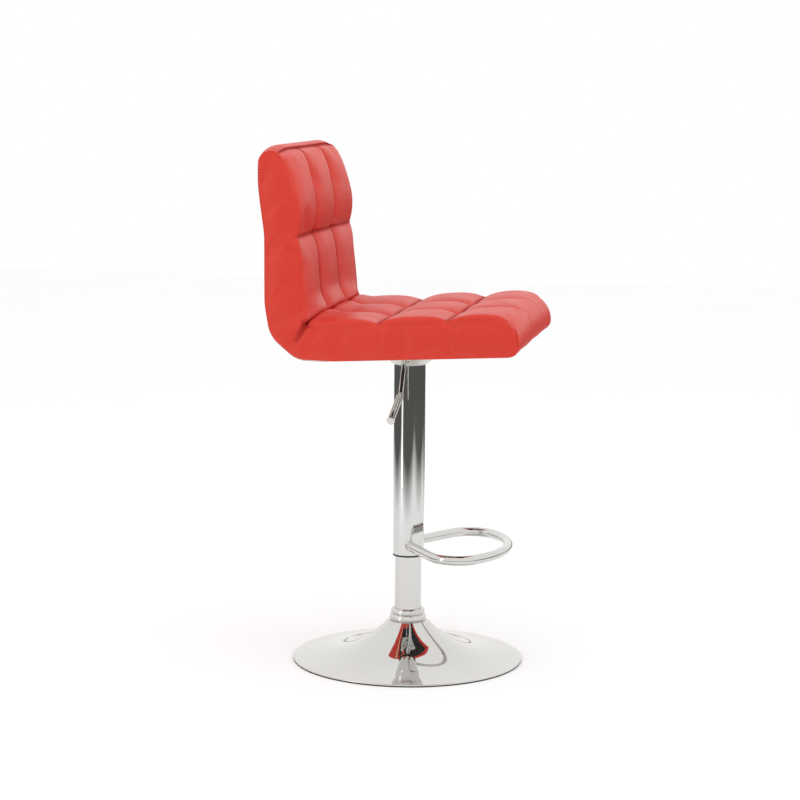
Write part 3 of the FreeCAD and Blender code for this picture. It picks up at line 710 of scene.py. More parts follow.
class Shell:
    """The skin of the padded L: rings of points round the outline, from side to side."""

    def __init__(self, settings):
        self.settings = settings
        self.outline = line = Outline(OUTLINE)
        start = line.nearest(*NOSE_SEAM)
        crease = line.nearest(*CREASE[:2])
        self.seams = [start] + [line.nearest(y, SEAT_TOP) for y in CROSS_SEAMS] + [crease]
        self.seams += [line.nearest(FACE_OF_BACK, BACK_SEAM), line.nearest(*TOP_SEAM)]
        rear = line.nearest(*REAR_EDGE, after=self.seams[-1])
        foot = line.nearest(*FOOT_EDGE, after=rear)
        far_side = [foot] + [line.nearest(y, 0.0, after=rear) for y in CROSS_SEAMS]
        far_side += [line.nearest(*HEEL_MIDDLE, after=rear)]
        far_side += [line.nearest(REAR_OF_BACK, BACK_SEAM, after=self.seams[-1]), rear]
        near, far = [self.seams[0]], [far_side[0]]
        for i in range(5):
            a, b = self.seams[i], self.seams[i + 1]
            steps = graded(*CELL_STEPS, b - a)[1:]
            near.extend(a + steps * (b - a))
            far.extend(far_side[i] + steps * (far_side[i + 1] - far_side[i]))
        self.near, self.far = np.array(near), np.array(far)
        self.stations = len(self.near)
        rows = np.arange(1, SIDE_ROWS) / SIDE_ROWS
        crest = self.near[-1] + rows * (self.far[-1] - self.near[-1])
        nose_length = line.whole - self.far[0] + self.near[0]
        nose = self.far[0] + rows * nose_length
        self.ring = np.concatenate([self.near, crest, self.far[::-1], nose])
        self.count = len(self.ring)
        edge = settings.half_width - settings.edge_round
        seam = settings.column_seam
        columns = [-edge]
        for a, b in ((-edge, -seam), (-seam, seam), (seam, edge)):
            columns.extend(a + graded(*COLUMN_STEPS, b - a)[1:] * (b - a))
        self.columns = np.array(columns)
        self.edge = edge

    def rings(self):
        """(x, inset, turn towards the side) of every ring, from -x to +x."""
        r = self.settings.edge_round
        turns = [pi / 2 * (k + 1) / EDGE_STEPS for k in range(EDGE_STEPS)]
        right = [(self.edge + r * sin(a), r * (1 - cos(a)), a) for a in turns]
        left = [(-x, inset, -a) for x, inset, a in reversed(right)]
        return left + [(x, 0.0, 0.0) for x in self.columns] + right

    def side_place(self, last_ring):
        """Points that fill a side inside its last ring, as a grid [station, row]."""
        n, rows = self.stations, SIDE_ROWS
        near = last_ring[:n]
        crest = last_ring[n:n + rows - 1]
        far = last_ring[n + rows - 1:2 * n + rows - 1][::-1]
        nose = last_ring[2 * n + rows - 1:][::-1]
        first = np.vstack([near[:1], nose, far[:1]])
        last = np.vstack([near[-1:], crest, far[-1:]])
        u = ((self.near - self.near[0]) / (self.near[-1] - self.near[0]))[:, None, None]
        v = (np.arange(rows + 1) / rows)[None, :, None]
        across = (1 - v) * near[:, None] + v * far[:, None]
        along = (1 - u) * first[None] + u * last[None]
        corners = (1 - u) * (1 - v) * near[0] + (1 - u) * v * far[0]
        corners = corners + u * (1 - v) * near[-1] + u * v * far[-1]
        return across + along - corners

    def side_index(self, ring_start, inner_start):
        """Vertex numbers of a side's grid, its border on the ring and the rest inside."""
        n, rows = self.stations, SIDE_ROWS
        grid = np.zeros((n, rows + 1), int)
        grid[:, 0] = ring_start + np.arange(n)
        grid[:, rows] = ring_start + n + rows - 1 + np.arange(n)[::-1]
        grid[n - 1, 1:rows] = ring_start + n + np.arange(rows - 1)
        grid[0, 1:rows] = ring_start + 2 * n + rows - 1 + np.arange(rows - 1)[::-1]
        inside = np.arange((n - 2) * (rows - 1)).reshape(n - 2, rows - 1)
        grid[1:n - 1, 1:rows] = inner_start + inside
        return grid


def valley(distance, width):
    """The hollow that a sewn line pulls into the padding on both sides of it."""
    return np.exp(-((distance / width) ** 1.35))


def eased(share):
    share = np.clip(share, 0, 1)
    return share * share * (3 - 2 * share)


def fallen_corners(shell, x):
    """How far each point of a ring drops where crest and front edge end at the sides."""
    settings = shell.settings
    line, s = shell.outline, shell.ring
    level = 0.135  # half of the width over which nothing drops
    share = np.clip((abs(x) - level) / (settings.half_width - level), 0, 1) ** 2
    crest = line.nearest(*CREST_MIDDLE)
    nose = line.nearest(*NOSE_MIDDLE)
    away = np.minimum(np.abs(s - nose), np.abs(s - nose - line.whole))
    drop = settings.corner_drop * bump_at(s - crest, 0.055)
    return share * (drop + settings.nose_drop * bump_at(away, 0.030))


def meeting_rolls(distance, height):
    """Two rolls of padding that meet on the diagonal of a corner, this far from it."""
    over = np.maximum(distance - height, 0)
    return 0.94 * np.minimum(distance, height) * bump_at(over, 0.004 + 1.25 * height)


def cell_crowns(shell):
    """0 at the seams that cross the seat and up to 1 between them, along the near side."""
    near, seams = shell.near, shell.seams
    crown = np.zeros(len(near))
    for a, b, share in zip(seams[:-1], seams[1:], CELL_FULLNESS):
        inside = (near >= a) & (near <= b)
        crown[inside] = share * pillow((near[inside] - a) / (b - a), 3.0)
    return crown


def crest_valley(to_top):
    """Depth of the valley at the seam along the crest, this far from it."""
    return (CREST_GROOVE * bump_at(to_top, CREST_GROOVE_WIDTH)
            + CREST_HOLLOW * bump_at(to_top, CREST_HOLLOW_WIDTH))


def crest_gathers(x, count, to_top):
    gather = ripple(np.full(count, x), 4)
    return 0.5 * gather * bump_at(to_top - CREST_GATHER_OFFSET, CREST_GATHER_WIDTH)


def quilt_offsets(shell, x, turn):
    """How far each point of one ring stands out from the outline, and how dark its painted seam
    shade is.
    """
    settings = shell.settings
    s, n = shell.ring, shell.stations
    seams = np.array(shell.seams)
    near = s[:n]
    side = abs(x)
    to_band = settings.edge_round * (pi / 2 - abs(turn)) + max(0.0, shell.edge - side)
    to_cross = np.min(np.abs(near[:, None] - seams[None, [1, 2, 4]]), axis=1)
    to_column = abs(side - settings.column_seam)
    to_crease = np.abs(near - seams[3])
    to_top = np.abs(near - seams[5])
    on_back = eased((near - seams[3]) / 0.02)
    front_fade = eased((near - seams[0] + 0.004) / NOSE_FADE)
    edge_fade = 0.25 + 0.75 * eased((to_band - 0.002) / 0.016)

    # What the seams pull in.
    sink = settings.seam_sink * (1 - 0.25 * on_back)
    cross_tuft = (settings.tuft + 0.0012 * on_back) * bump_at(to_column, CROSSING_WIDTH)
    column_tuft = settings.tuft * bump_at(to_cross, CROSSING_WIDTH)
    hollow = np.hypot((sink + cross_tuft) * valley(to_cross, HOLLOW_WIDTH),
                      (sink + column_tuft) * front_fade * valley(to_column, HOLLOW_WIDTH))
    groove = settings.groove * edge_fade * np.maximum(
        bump_at(to_cross, GROOVE_WIDTH), bump_at(to_column, GROOVE_WIDTH) * front_fade)

    # What the padding pushes out.
    height = settings.crease_roll * (1 - 0.30 * bump_at(to_column, HOLLOW_WIDTH))
    height = height * (1 - 0.62 * bump_at(to_band, 0.040))
    roll = meeting_rolls(to_crease, height) - 0.003 * bump_at(to_crease, 0.0018)
    swollen = settings.edge_fullness * cell_crowns(shell)
    beside = bump_at(to_column - GATHER_OFFSET, GATHER_WIDTH)
    gather = ripple(near, 7 + int(x > 0)) * beside * front_fade
    gather = gather + ripple(np.full(n, x), 3) * bump_at(to_cross - GATHER_OFFSET, GATHER_WIDTH)
    gather = gather + crest_gathers(x, n, to_top)
    gather = gather * np.clip(to_crease / 0.02, 0, 1)
    out = -fallen_corners(shell, x)
    out[:n] += settings.gathers * gather - hollow - groove + roll + swollen - crest_valley(to_top)

    # Painted shade: how dark the hide is painted down in the seams, at their crossings and in the
    # crease.
    depth = np.zeros(shell.count)
    dark = np.maximum(bump_at(to_cross, SHADE_WIDTH) * edge_fade,
                      bump_at(to_column, SHADE_WIDTH) * front_fade)
    dark += 0.22 * valley(to_column, 0.009) * on_back
    dark = np.maximum(dark, bump_at(to_crease, 0.0075))
    dark += 0.35 * valley(to_cross, 0.008) * valley(to_column, 0.008)
    depth[:n] = dark + CREST_SHADE * bump_at(to_top, 0.0020)

    # Behind the seam along the crest.
    rest = s[n:]
    to_top = np.abs(rest - seams[5])
    out[n:] -= crest_valley(to_top)
    out[n:] -= sink[-1] * valley(to_column, HOLLOW_WIDTH) * bump_at(to_top, 0.012)
    out[n:] += settings.gathers * crest_gathers(x, len(rest), to_top)
    depth[n:] = CREST_SHADE * bump_at(to_top, 0.0020)
    return out, np.clip(depth, 0, 1)


def side_offsets(shell):
    """How far each point of a side stands out sideways, and how dark its painted shade is."""
    settings = shell.settings
    v = np.arange(SIDE_ROWS + 1) / SIDE_ROWS
    seams = np.array(shell.seams)
    near = shell.near
    to_crease = (near - seams[3])[:, None]
    across = v[None, :] * SIDE_DEPTH
    on_back = eased(to_crease / 0.03)
    out = settings.band_crown * pillow(v, 2.6)[None, :] * np.ones((len(near), 1))
    out = out - settings.band_dent * bump_at(across - 0.011, 0.009) * on_back
    # The crease runs on into the side and ends before the heel, between two low rolls.
    fade = np.clip(1 - v / 0.74, 0, 1)[None, :]
    crease = bump_at(to_crease, 0.0017 + 0.0012 * (1 - fade))
    out = out - (0.0055 * fade ** 0.5) * crease
    out = out + 0.0022 * bump_at(np.abs(to_crease) - 0.0075, 0.0065) * fade
    # Each cross seam pinches the edge of the side.
    for place in (1, 2, 4):
        to_seam = (near - seams[place])[:, None]
        out = out - 0.0024 * bump_at(to_seam, 0.0045 + 0.30 * across) * bump_at(across, 0.012)
    along = near[:, None] * np.ones_like(across)
    calm = 1 - bump_at(to_crease, 0.02) * fade
    gather = ripple(along, 31) * bump_at(across - GATHER_OFFSET, GATHER_WIDTH) * calm
    out = out + 0.6 * settings.gathers * gather
    out = out + 0.0006 * ripple(along, 33, shortest=0.06, longest=0.13) * pillow(v, 2)[None, :]
    # Painted shade, darkest down in the crease where it runs into the side.
    depth = crease * fade ** 0.4 * 1.2 + np.zeros_like(across)
    return out, np.clip(depth, 0, 1)


def padded_shell(settings):
    """Points, faces, painted seam shade and pinned points of the whole padded cover."""
    shell = Shell(settings)
    rings = shell.rings()
    centre = shell.outline.at(shell.ring)
    normal = shell.outline.outwards(shell.ring)
    points, depth = [], []
    for x, inset, turn in rings:
        out, shaded = quilt_offsets(shell, x, turn)
        flat = centre - normal * inset
        place = np.column_stack([np.full(shell.count, x), flat])
        way = np.column_stack([np.full(shell.count, sin(turn)), normal * cos(turn)])
        points.append(place + way * out[:, None])
        depth.append(shaded)
    total = len(rings)
    n, rows = shell.stations, SIDE_ROWS
    faces = []
    for j in range(total - 1):
        for k in range(shell.count):
            m = (k + 1) % shell.count
            faces.append((j * shell.count + k, j * shell.count + m,
                          (j + 1) * shell.count + m, (j + 1) * shell.count + k))
    made = total * shell.count
    for side, ring in ((-1, 0), (1, total - 1)):
        place = shell.side_place(points[ring][:, 1:])
        out, shaded = side_offsets(shell)
        x = np.full((n, rows + 1), rings[ring][0]) + side * out
        grid = shell.side_index(ring * shell.count, made)
        points[ring][:n, 0] = x[:, 0]
        depth[ring][:n] = np.maximum(depth[ring][:n], shaded[:, 0])
        inner = np.concatenate([x[1:-1, 1:-1, None], place[1:-1, 1:-1]], axis=2).reshape(-1, 3)
        points.append(inner)
        depth.append(shaded[1:-1, 1:-1].ravel())
        made += len(inner)
        for i in range(n - 1):
            for k in range(rows):
                quad = (grid[i, k], grid[i + 1, k], grid[i + 1, k + 1], grid[i, k + 1])
                faces.append(tuple(int(q) for q in (quad if side > 0 else quad[::-1])))
    places = np.vstack(points)
    pins = pinned_points(shell, rings)
    return shell, places, outward_faces(places, faces), np.concatenate(depth), pins


def pinned_points(shell, rings):
    """Numbers of the points that the filling doesn't move: seams, underside and rear."""
    settings = shell.settings
    seams = np.array(shell.seams)
    held = []
    n = shell.stations
    for j, (x, _, turn) in enumerate(rings):
        start = j * shell.count
        at_seam = np.min(np.abs(shell.near[:, None] - seams[None, 1:]), axis=1) < AT_SEAM
        on_column = abs(abs(x) - settings.column_seam) < AT_SEAM
        on_edge = abs(turn) > radians(89)
        behind_nose = shell.near > seams[0] + 0.028
        near = at_seam | (on_column & behind_nose) | on_edge
        held.extend(start + np.nonzero(near)[0])
        if abs(turn) < radians(50):
            held.extend(start + n + np.arange(SIDE_ROWS - 1 + n))
    return [int(i) for i in held]


SMALLEST_MOVE = 1e-5
SEAT_ZONE, LOWER_ZONE, UPPER_ZONE = (-1.0, 0.080), (0.10, 0.19), (0.21, 0.32)
ZONE_HEIGHTS = (0.076, 0.10, 0.19, 0.21)  # where one zone's share ends and the next begins


def swell_share(places, size, settings):
    """What to keep of each point's movement, so that the cells of each zone stand out as set."""
    side, height = np.abs(places[:, 0]), places[:, 2]
    moved = size > SMALLEST_MOVE
    reach = side > settings.half_width - 0.003

    def share_of(zone, wanted):
        return wanted / np.percentile(size[zone & moved], 97)

    seat, lower, upper = [
        share_of(~reach & (height > low) & (height < high), wanted)
        for (low, high), wanted in (
            (SEAT_ZONE, settings.seat_swell), (LOWER_ZONE, settings.lower_swell),
            (UPPER_ZONE, settings.upper_swell),
        )
    ]
    share = np.interp(height, ZONE_HEIGHTS, [seat, lower, lower, upper])
    return np.where(reach, share_of(reach, settings.band_swell), share)


def evened(move, pins, rings, around, rounds=6):
    """The movement of the rings' points, smoothed along and across them between the seams."""
    held = np.ones(len(move))
    held[pins] = 0
    held = held[:rings * around].reshape(rings, around, 1)
    field = move[:rings * around].reshape(rings, around, 3).copy()
    for _ in range(rounds):
        sideways = (np.roll(field, 1, axis=1) + np.roll(field, -1, axis=1)) / 2
        lengthways = field.copy()
        lengthways[1:-1] = (field[2:] + field[:-2]) / 2
        field = held * (0.4 * field + 0.3 * sideways + 0.3 * lengthways)
    move[:rings * around] = field.reshape(-1, 3)
    return move


CLOTH = {
    "quality": 6, "mass": 0.25, "tension_stiffness": 18, "compression_stiffness": 18,
    "shear_stiffness": 6, "bending_stiffness": 0.6, "use_pressure": True, "shrink_min": -0.02,
    "vertex_group_mass": "sewn",
}
CLOTH_FRAMES = 20


def filled(piece, pins, shell, places, fade):
    """Blows the cover up between its seams as a cloth, and keeps the shape it takes."""
    settings = shell.settings
    before = vertex_places(piece)
    group = piece.vertex_groups.new(name="sewn")
    group.add(pins, 1.0, "REPLACE")
    cloth = piece.modifiers.new("filling", "CLOTH")
    for key, value in CLOTH.items():
        setattr(cloth.settings, key, value)
    cloth.settings.uniform_pressure_force = settings.pressure
    cloth.settings.effector_weights.gravity = 0
    cloth.collision_settings.use_collision = False
    cloth.point_cache.frame_start = 1
    cloth.point_cache.frame_end = CLOTH_FRAMES
    for number in range(1, CLOTH_FRAMES + 1):
        bpy.context.scene.frame_set(number)
    shaped = piece.evaluated_get(bpy.context.evaluated_depsgraph_get())
    after = vertex_places(shaped)
    piece.modifiers.clear()
    piece.vertex_groups.clear()
    bpy.context.scene.frame_set(1)
    move = evened(after - before, pins, len(shell.rings()), shell.count)
    size = np.linalg.norm(move, axis=1)
    move *= (swell_share(places, size, settings) * fade)[:, None]
    most = 1.25 * settings.upper_swell
    move *= np.minimum(1, most / np.maximum(np.linalg.norm(move, axis=1), 1e-9))[:, None]
    piece.data.vertices.foreach_set("co", (before + move).ravel())
    piece.data.update()


def subdivided(piece):
    step = piece.modifiers.new("soften", "SUBSURF")
    step.levels = step.render_levels = 1
    return flattened(piece)


class STOOL_OT_upholstery(bpy.types.Operator):
    """Make the quilted cover of seat and back, filled and sewn"""
    bl_idname = "stool.upholstery"
    bl_label = "Quilted cover"

    def execute(self, context):
        settings = context.scene.stool_upholstery
        shell, places, faces, depth, pins = padded_shell(settings)
        piece = mesh_object("quilted_cover", placed(places), faces, {"painted_seam_shade": depth})
        crease = shell.outline.at(np.array([shell.seams[3]]))[0]
        far = np.hypot(places[:, 1] - crease[0], places[:, 2] - crease[1])
        filled(piece, pins, shell, places, np.clip((far - 0.004) / 0.02, 0, 1))
        smooth(subdivided(piece))
        piece.data.materials.append(material_of("hide"))
        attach(piece, "seat")
        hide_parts("seat_cushion", "back_cushion", "outer_cover", "rear_pad")
        return {"FINISHED"}


def patch(name, outer, inner, key, attributes=None):
    """A thin closed skin between two grids of places, with its edges joined."""
    m, n = outer.shape[:2]
    points = np.vstack([outer.reshape(-1, 3), inner.reshape(-1, 3)])
    count = m * n
    faces = []
    for i in range(m - 1):
        for j in range(n - 1):
            a, d = i * n + j, (i + 1) * n + j
            faces.append((a, a + 1, d + 1, d))
            faces.append((count + d, count + d + 1, count + a + 1, count + a))
    rim = list(range(n)) + [i * n + n - 1 for i in range(1, m)]
    rim += [(m - 1) * n + j for j in range(n - 2, -1, -1)] + [i * n for i in range(m - 2, 0, -1)]
    for a, b in zip(rim, rim[1:] + rim[:1]):
        faces.append((b, a, count + a, count + b))
    piece = mesh_object(name, placed(points), outward_faces(points, faces), attributes)
    piece.data.materials.append(material_of(key))
    return piece


REAR_COVER_END = (99.0, 0.0)  # under the heel, in millimetres
REAR_EDGE_LIFT, REAR_PADDING, REAR_THICKNESS = 0.0007, 0.0020, 0.0012


class STOOL_OT_rear_cover(bpy.types.Operator):
    """Make the smooth panel behind the back, over the crest and round the heel"""
    bl_idname = "stool.rear_cover"
    bl_label = "Rear cover"

    def execute(self, context):
        settings = context.scene.stool_upholstery
        shell = Shell(settings)
        line = shell.outline
        start = shell.seams[5] + 0.001
        end = line.nearest(*REAR_COVER_END, after=start)
        s = start + graded(0.0012, 0.0075, 0.014, end - start) * (end - start)
        half = shell.edge + 0.002
        across = -half + graded(0.0012, 0.0085, 0.014, 2 * half) * 2 * half
        centre, normal = line.at(s), line.outwards(s)
        outer = np.zeros((len(s), len(across), 3))
        inner = np.zeros_like(outer)
        depth = np.zeros((len(s), len(across)))
        for j, x in enumerate(across):
            drop = np.interp(s, shell.ring, -fallen_corners(shell, x), period=line.whole)
            to_edge = np.minimum(half - abs(x), np.minimum(s - start, end - s))
            lift = REAR_EDGE_LIFT + REAR_PADDING * eased(to_edge / 0.028)
            out = drop + lift * eased((end - s) / 0.050)
            out -= REAR_EDGE_LIFT * bump_at(to_edge, 0.0020)
            gather = ripple(s, 41 + int(x > 0)) * bump_at(to_edge - GATHER_OFFSET, GATHER_WIDTH)
            out += 0.5 * settings.gathers * gather
            for skin, level in ((outer, out), (inner, np.minimum(out, drop) - REAR_THICKNESS)):
                skin[:, j, 0] = x
                skin[:, j, 1:] = centre + normal * level[:, None]
            # Painted shade along the sewn edges of the rear cover.
            depth[:, j] = 0.25 * bump_at(to_edge, 0.0018)
        values = np.concatenate([depth.ravel(), depth.ravel()])
        piece = patch("rear_cover", outer, inner, "hide", {"painted_seam_shade": values})
        smooth(subdivided(piece))
        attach(piece, "seat")
        return {"FINISHED"}


LINING_HALF = 0.162
LINING_FRONT, LINING_REAR = -0.1695, 0.0895
LINING_SAG, LINING_TOP, LINING_THICKNESS = 0.0026, -0.00078, 0.0006
PLATE_HALF = 0.078


class STOOL_OT_lining(bpy.types.Operator):
    """Make the black lining stretched under the seat"""
    bl_idname = "stool.lining"
    bl_label = "Seat lining"

    def execute(self, context):
        x = np.linspace(-LINING_HALF, LINING_HALF, 61)
        y = np.linspace(LINING_FRONT, LINING_REAR, 49)
        rows, columns = np.meshgrid(y, x, indexing="ij")
        to_edge = np.minimum(LINING_HALF - np.abs(columns), np.minimum(rows - y[0], y[-1] - rows))
        to_plate = np.maximum(np.abs(columns), np.abs(rows)) - PLATE_HALF
        sag = LINING_SAG * eased(to_edge / 0.03) * eased(to_plate / 0.02)
        waves = ripple(columns.ravel(), 51, 4, 0.02, 0.05).reshape(rows.shape)
        waves = waves + ripple(rows.ravel(), 52, 4, 0.02, 0.05).reshape(rows.shape)
        waves = 0.0004 * waves * eased(to_plate / 0.02) * eased(to_edge / 0.012)
        low = np.stack([columns, rows, LINING_TOP - sag + waves], axis=2)
        high = low + np.array([0, 0, LINING_THICKNESS])
        piece = smooth(patch("seat_lining", low, high, "lining"))
        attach(piece, "seat")
        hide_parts("dust_cover")
        return {"FINISHED"}


# ---- Stitches -----------------------------------------------------------------------------
def stitch_tree():
    """A node tree that lays one short thread at every pitch along each line it is given."""
    tree = bpy.data.node_groups.new("stitch_run", "GeometryNodeTree")
    for name, kind in (("Lines", "Geometry"), ("Pitch", "Float"), ("Length", "Float"),
                       ("Thickness", "Float"), ("Thread", "Material")):
        tree.interface.new_socket(name, in_out="INPUT", socket_type="NodeSocket" + kind)
    tree.interface.new_socket("Stitches", in_out="OUTPUT", socket_type="NodeSocketGeometry")
    entry, leave, line, even, way, turn, bead, size, lay, real, finish = [
        tree.nodes.new(kind) for kind in (
            "NodeGroupInput", "NodeGroupOutput", "GeometryNodeMeshToCurve",
            "GeometryNodeResampleCurve", "GeometryNodeInputTangent",
            "FunctionNodeAlignRotationToVector", "GeometryNodeMeshUVSphere",
            "ShaderNodeCombineXYZ", "GeometryNodeInstanceOnPoints",
            "GeometryNodeRealizeInstances", "GeometryNodeSetMaterial")
    ]
    even.mode = "LENGTH"
    turn.axis = "X"
    bead.inputs["Segments"].default_value = 6
    bead.inputs["Rings"].default_value = 5
    bead.inputs["Radius"].default_value = 0.5
    for source, output, target, socket in (
        (entry, "Lines", line, "Mesh"), (line, "Curve", even, "Curve"),
        (entry, "Pitch", even, "Length"), (way, "Tangent", turn, "Vector"),
        (entry, "Length", size, "X"), (entry, "Thickness", size, "Y"),
        (entry, "Thickness", size, "Z"), (even, "Curve", lay, "Points"),
        (bead, "Mesh", lay, "Instance"), (turn, "Rotation", lay, "Rotation"),
        (size, "Vector", lay, "Scale"), (lay, "Instances", real, "Geometry"),
        (real, "Geometry", finish, "Geometry"), (entry, "Thread", finish, "Material"),
        (finish, "Geometry", leave, "Stitches"),
    ):
        join(tree, source.outputs[output], target.inputs[socket])
    return tree


def set_input(modifier, tree, name, value):
    for item in tree.interface.items_tree:
        if item.in_out == "INPUT" and item.name == name:
            modifier[item.identifier] = value


def sewn_lines(settings):
    """The lines of stitches: down the seams of the quilting, read off the finished cover."""
    shell = Shell(settings)
    places = vertex_places(bpy.data.objects["quilted_cover"])
    total = shell.count
    rings = shell.rings()
    lines = []
    for x in (-settings.column_seam, settings.column_seam):
        first = total * int(np.argmin([abs(r[0] - x) + abs(r[2]) for r in rings]))
        lines.append(places[first:first + shell.stations])
    for seam in (1, 2, 4, 5):
        station = int(np.argmin(np.abs(shell.near - shell.seams[seam])))
        faces_out = [j for j, (_, _, turn) in enumerate(rings) if abs(turn) < radians(40)]
        lines.append(places[[j * total + station for j in faces_out]])
    return lines


REAR_STITCH_INSET, REAR_STITCH_LIFT = 0.0046, 0.0014


def rear_lines(settings):
    """The lines of stitches that hold the edges of the rear cover."""
    shell = Shell(settings)
    line = shell.outline
    start = shell.seams[5] + 0.010
    end = line.nearest(*REAR_COVER_END, after=start)
    s = np.linspace(start, end, 160)
    lines = []
    for x in (REAR_STITCH_INSET - shell.edge, shell.edge - REAR_STITCH_INSET):
        drop = np.interp(s, shell.ring, -fallen_corners(shell, x), period=line.whole)
        place = line.at(s) + line.outwards(s) * (drop + REAR_STITCH_LIFT)[:, None]
        lines.append(placed(np.column_stack([np.full(len(s), x), place])))
    return lines


class STOOL_OT_stitches(bpy.types.Operator):
    """Sew the seams of the quilting and the edges of the rear cover"""
    bl_idname = "stool.stitches"
    bl_label = "Stitches"

    def execute(self, context):
        settings = context.scene.stool_upholstery
        points, edges = [], []
        for line in sewn_lines(settings) + rear_lines(settings):
            first = len(points)
            points.extend(np.asarray(line).tolist())
            edges.extend((i, i + 1) for i in range(first, len(points) - 1))
        mesh = bpy.data.meshes.new("seam_stitches")
        mesh.from_pydata(points, edges, [])
        piece = bpy.data.objects.new("seam_stitches", mesh)
        context.scene.collection.objects.link(piece)
        tree = stitch_tree()
        run = piece.modifiers.new("stitches", "NODES")
        run.node_group = tree
        set_input(run, tree, "Pitch", settings.stitch_pitch)
        set_input(run, tree, "Length", settings.stitch_length)
        set_input(run, tree, "Thickness", 2 * settings.thread_radius)
        set_input(run, tree, "Thread", material_of("thread"))
        smooth(flattened(piece))
        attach(piece, "seat")
        return {"FINISHED"}


class STOOL_OT_finishes(bpy.types.Operator):
    """Give every carried-over part its finish"""
    bl_idname = "stool.finishes"
    bl_label = "Finishes"

    def execute(self, context):
        for part in frame["record"]["subparts"]:
            node = frame["nodes"][part["node"]]
            finish = material_of(FINISH_OF_SLOT[part["material_slot"]])
            if node.data.materials:
                for i in range(len(node.data.materials)):
                    node.data.materials[i] = finish
            else:
                node.data.materials.append(finish)
        return {"FINISHED"}


# ---- Stage --------------------------------------------------------------------------------
MIRRORED_DARK, MIRRORED_LIGHT = (0.115, 0.114, 0.110), (1.08, 1.07, 1.055)
SOFTBOXES = (  # name, place, what it points at, size, power in watts, whether mirrors show it
    ("overhead_softbox", (-0.4, -0.3, 2.6), (0, 0, 0.5), (2.4, 2.4), 9, False),
    ("front_softbox", (-0.9, -2.4, 1.5), (0, 0, 0.65), (1.6, 1.6), 6, False),
    ("strip_softbox", (-1.09, 1.03, 0.60), (0, 0, 0.40), (0.34, 1.2), 1.7, True),
)


def area_light(name, place, aim, size, watts, mirrored):
    light = bpy.data.lights.new(name, "AREA")
    light.shape = "RECTANGLE"
    light.size, light.size_y = size
    light.energy = watts
    lamp = bpy.data.objects.new(name, light)
    lamp.location = place
    lamp.rotation_euler = (Vector(aim) - Vector(place)).to_track_quat("-Z", "Y").to_euler()
    lamp.visible_camera = False
    lamp.visible_glossy = mirrored
    bpy.context.scene.collection.objects.link(lamp)


def studio_world(settings):
    """Even white light, in which mirrors show a bright room above a dark ground."""
    world = bpy.data.worlds.new("studio")
    bpy.context.scene.world = world
    world.use_nodes = True
    tree = world.node_tree
    tree.nodes.clear()
    white, soft, mirror = [tree.nodes.new("ShaderNodeBackground") for _ in range(3)]
    white.inputs["Color"].default_value = soft.inputs["Color"].default_value = (1, 1, 1, 1)
    soft.inputs["Strength"].default_value = settings.ambient
    parts = tree.nodes.new("ShaderNodeSeparateXYZ")
    join(tree, tree.nodes.new("ShaderNodeTexCoord").outputs["Generated"], parts.inputs[0])
    room = span(tree, parts.outputs["Z"], -0.02, 0.03)
    join(tree, mix_colour(tree, room, MIRRORED_DARK, MIRRORED_LIGHT), mirror.inputs["Color"])
    path = tree.nodes.new("ShaderNodeLightPath")
    light = soft.outputs[0]
    for ray, other in (("Is Glossy Ray", mirror), ("Is Camera Ray", white)):
        choice = tree.nodes.new("ShaderNodeMixShader")
        join(tree, path.outputs[ray], choice.inputs[0])
        join(tree, light, choice.inputs[1])
        join(tree, other.outputs[0], choice.inputs[2])
        light = choice.outputs[0]
    join(tree, light, tree.nodes.new("ShaderNodeOutputWorld").inputs["Surface"])


def floor_material(settings):
    """Pale everywhere, but in mirrored light it fades out away from the stool."""
    material, tree, shader = new_material("pale_floor")
    where = object_coordinates(tree)
    pale = mix_colour(tree, noise(tree, where, 2.0), (0.97, 0.97, 0.97), (0.985, 0.985, 0.985))
    parts = tree.nodes.new("ShaderNodeSeparateXYZ")
    join(tree, where, parts.inputs[0])
    reach = []
    for axis, size in (("X", settings.pool_length), ("Y", settings.pool_width)):
        share = arithmetic(tree, "DIVIDE", parts.outputs[axis], size)
        reach.append(arithmetic(tree, "ABSOLUTE", share))
    fade = span(tree, arithmetic(tree, "MAXIMUM", *reach), 0.8, 1.25)
    path = tree.nodes.new("ShaderNodeLightPath")
    fade = arithmetic(tree, "MULTIPLY", fade, path.outputs["Is Glossy Ray"])
    join(tree, mix_colour(tree, fade, pale, MIRRORED_DARK), shader.inputs["Base Color"])
    shader.inputs["Roughness"].default_value = 0.9
    shader.inputs["Specular IOR Level"].default_value = 0.0
    return material


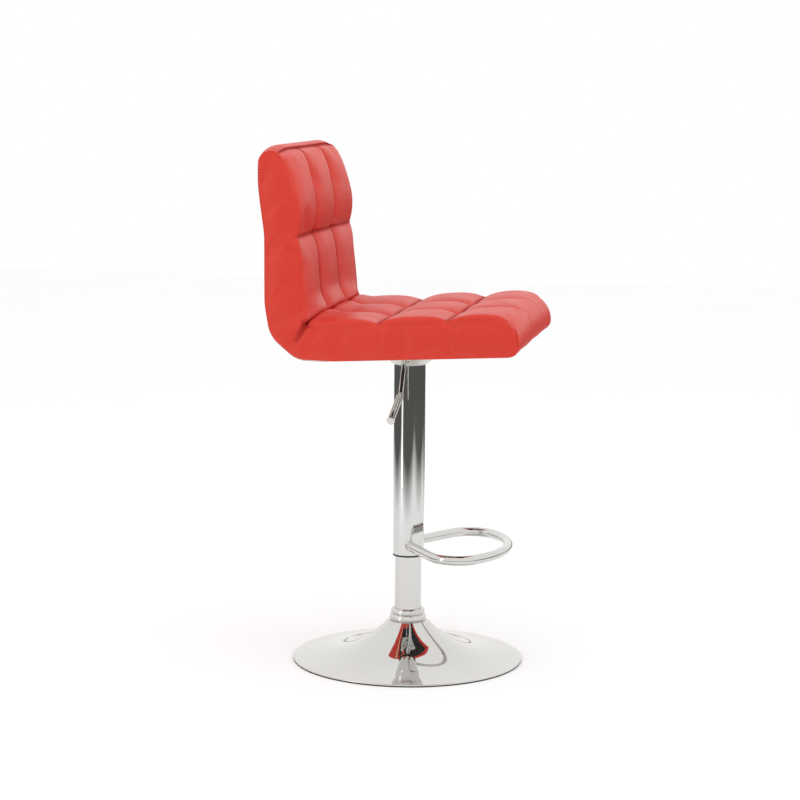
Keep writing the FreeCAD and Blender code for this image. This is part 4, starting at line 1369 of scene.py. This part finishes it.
class STOOL_OT_stage(bpy.types.Operator):
    """Make the pale floor, the soft lights and the camera"""
    bl_idname = "stool.stage"
    bl_label = "Stage"

    def execute(self, context):
        settings = context.scene.stool_stage
        half = settings.floor_half
        corners = [(-half, -half, 0.0), (half, -half, 0.0), (half, half, 0.0), (-half, half, 0.0)]
        floor = mesh_object("studio_floor", corners, [(0, 1, 2, 3)])
        floor.data.materials.append(floor_material(settings))
        studio_world(settings)
        for box in SOFTBOXES:
            area_light(*box)
        self.camera(settings)
        view = context.scene.view_settings
        view.view_transform = "Standard"
        view.look = "None"
        return {"FINISHED"}

    def camera(self, settings):
        data = bpy.data.cameras.new("camera")
        data.lens = settings.camera_lens
        data.sensor_width = 36.0
        data.clip_end = 50.0
        camera = bpy.data.objects.new("camera", data)
        side, pitch, roll = settings.camera_azimuth, settings.camera_pitch, settings.camera_roll
        aim = side + settings.camera_yaw
        ahead = Vector((-sin(aim) * cos(pitch), cos(aim) * cos(pitch), -sin(pitch)))
        right = ahead.cross(Vector((0, 0, 1))).normalized()
        up = right.cross(ahead)
        level_right = right * cos(roll) + up * sin(roll)
        level_up = up * cos(roll) - right * sin(roll)
        place = Vector((
            settings.camera_distance * sin(side), -settings.camera_distance * cos(side),
            settings.camera_height,
        ))
        axes = Matrix((level_right, level_up, -ahead)).transposed()
        camera.matrix_world = Matrix.Translation(place) @ axes.to_4x4()
        bpy.context.scene.collection.objects.link(camera)
        bpy.context.scene.camera = camera


# ---- Panel --------------------------------------------------------------------------------
OPERATORS = (
    STOOL_OT_finishes, STOOL_OT_upholstery, STOOL_OT_rear_cover, STOOL_OT_lining,
    STOOL_OT_stitches, STOOL_OT_stage,
)


class STOOL_PT_panel(bpy.types.Panel):
    """Sizes and finishes of the stool"""
    bl_idname = "STOOL_PT_panel"
    bl_label = "Swivel stool"
    bl_space_type = "VIEW_3D"
    bl_region_type = "UI"
    bl_category = "Stool"

    def draw(self, context):
        for operator in OPERATORS:
            self.layout.operator(operator.bl_idname)
        for group in ("stool_upholstery", "stool_metal", "stool_stage"):
            settings = getattr(context.scene, group)
            box = self.layout.box()
            for key in settings.bl_rna.properties.keys():
                if key not in ("name", "rna_type"):
                    box.prop(settings, key)


CLASSES = (
    StoolUpholsterySettings, StoolMetalSettings, StoolStageSettings, *OPERATORS, STOOL_PT_panel,
)


def register():
    for kind in CLASSES:
        bpy.utils.register_class(kind)
    bpy.types.Scene.stool_upholstery = PointerProperty(type=StoolUpholsterySettings)
    bpy.types.Scene.stool_metal = PointerProperty(type=StoolMetalSettings)
    bpy.types.Scene.stool_stage = PointerProperty(type=StoolStageSettings)


def unregister():
    del bpy.types.Scene.stool_stage
    del bpy.types.Scene.stool_metal
    del bpy.types.Scene.stool_upholstery
    for kind in reversed(CLASSES):
        bpy.utils.unregister_class(kind)


def main():
    register()
    bpy.ops.stool.finishes()
    bpy.ops.stool.upholstery()
    bpy.ops.stool.rear_cover()
    bpy.ops.stool.lining()
    bpy.ops.stool.stitches()
    bpy.ops.stool.stage()


if __name__ == "__main__":
    main()
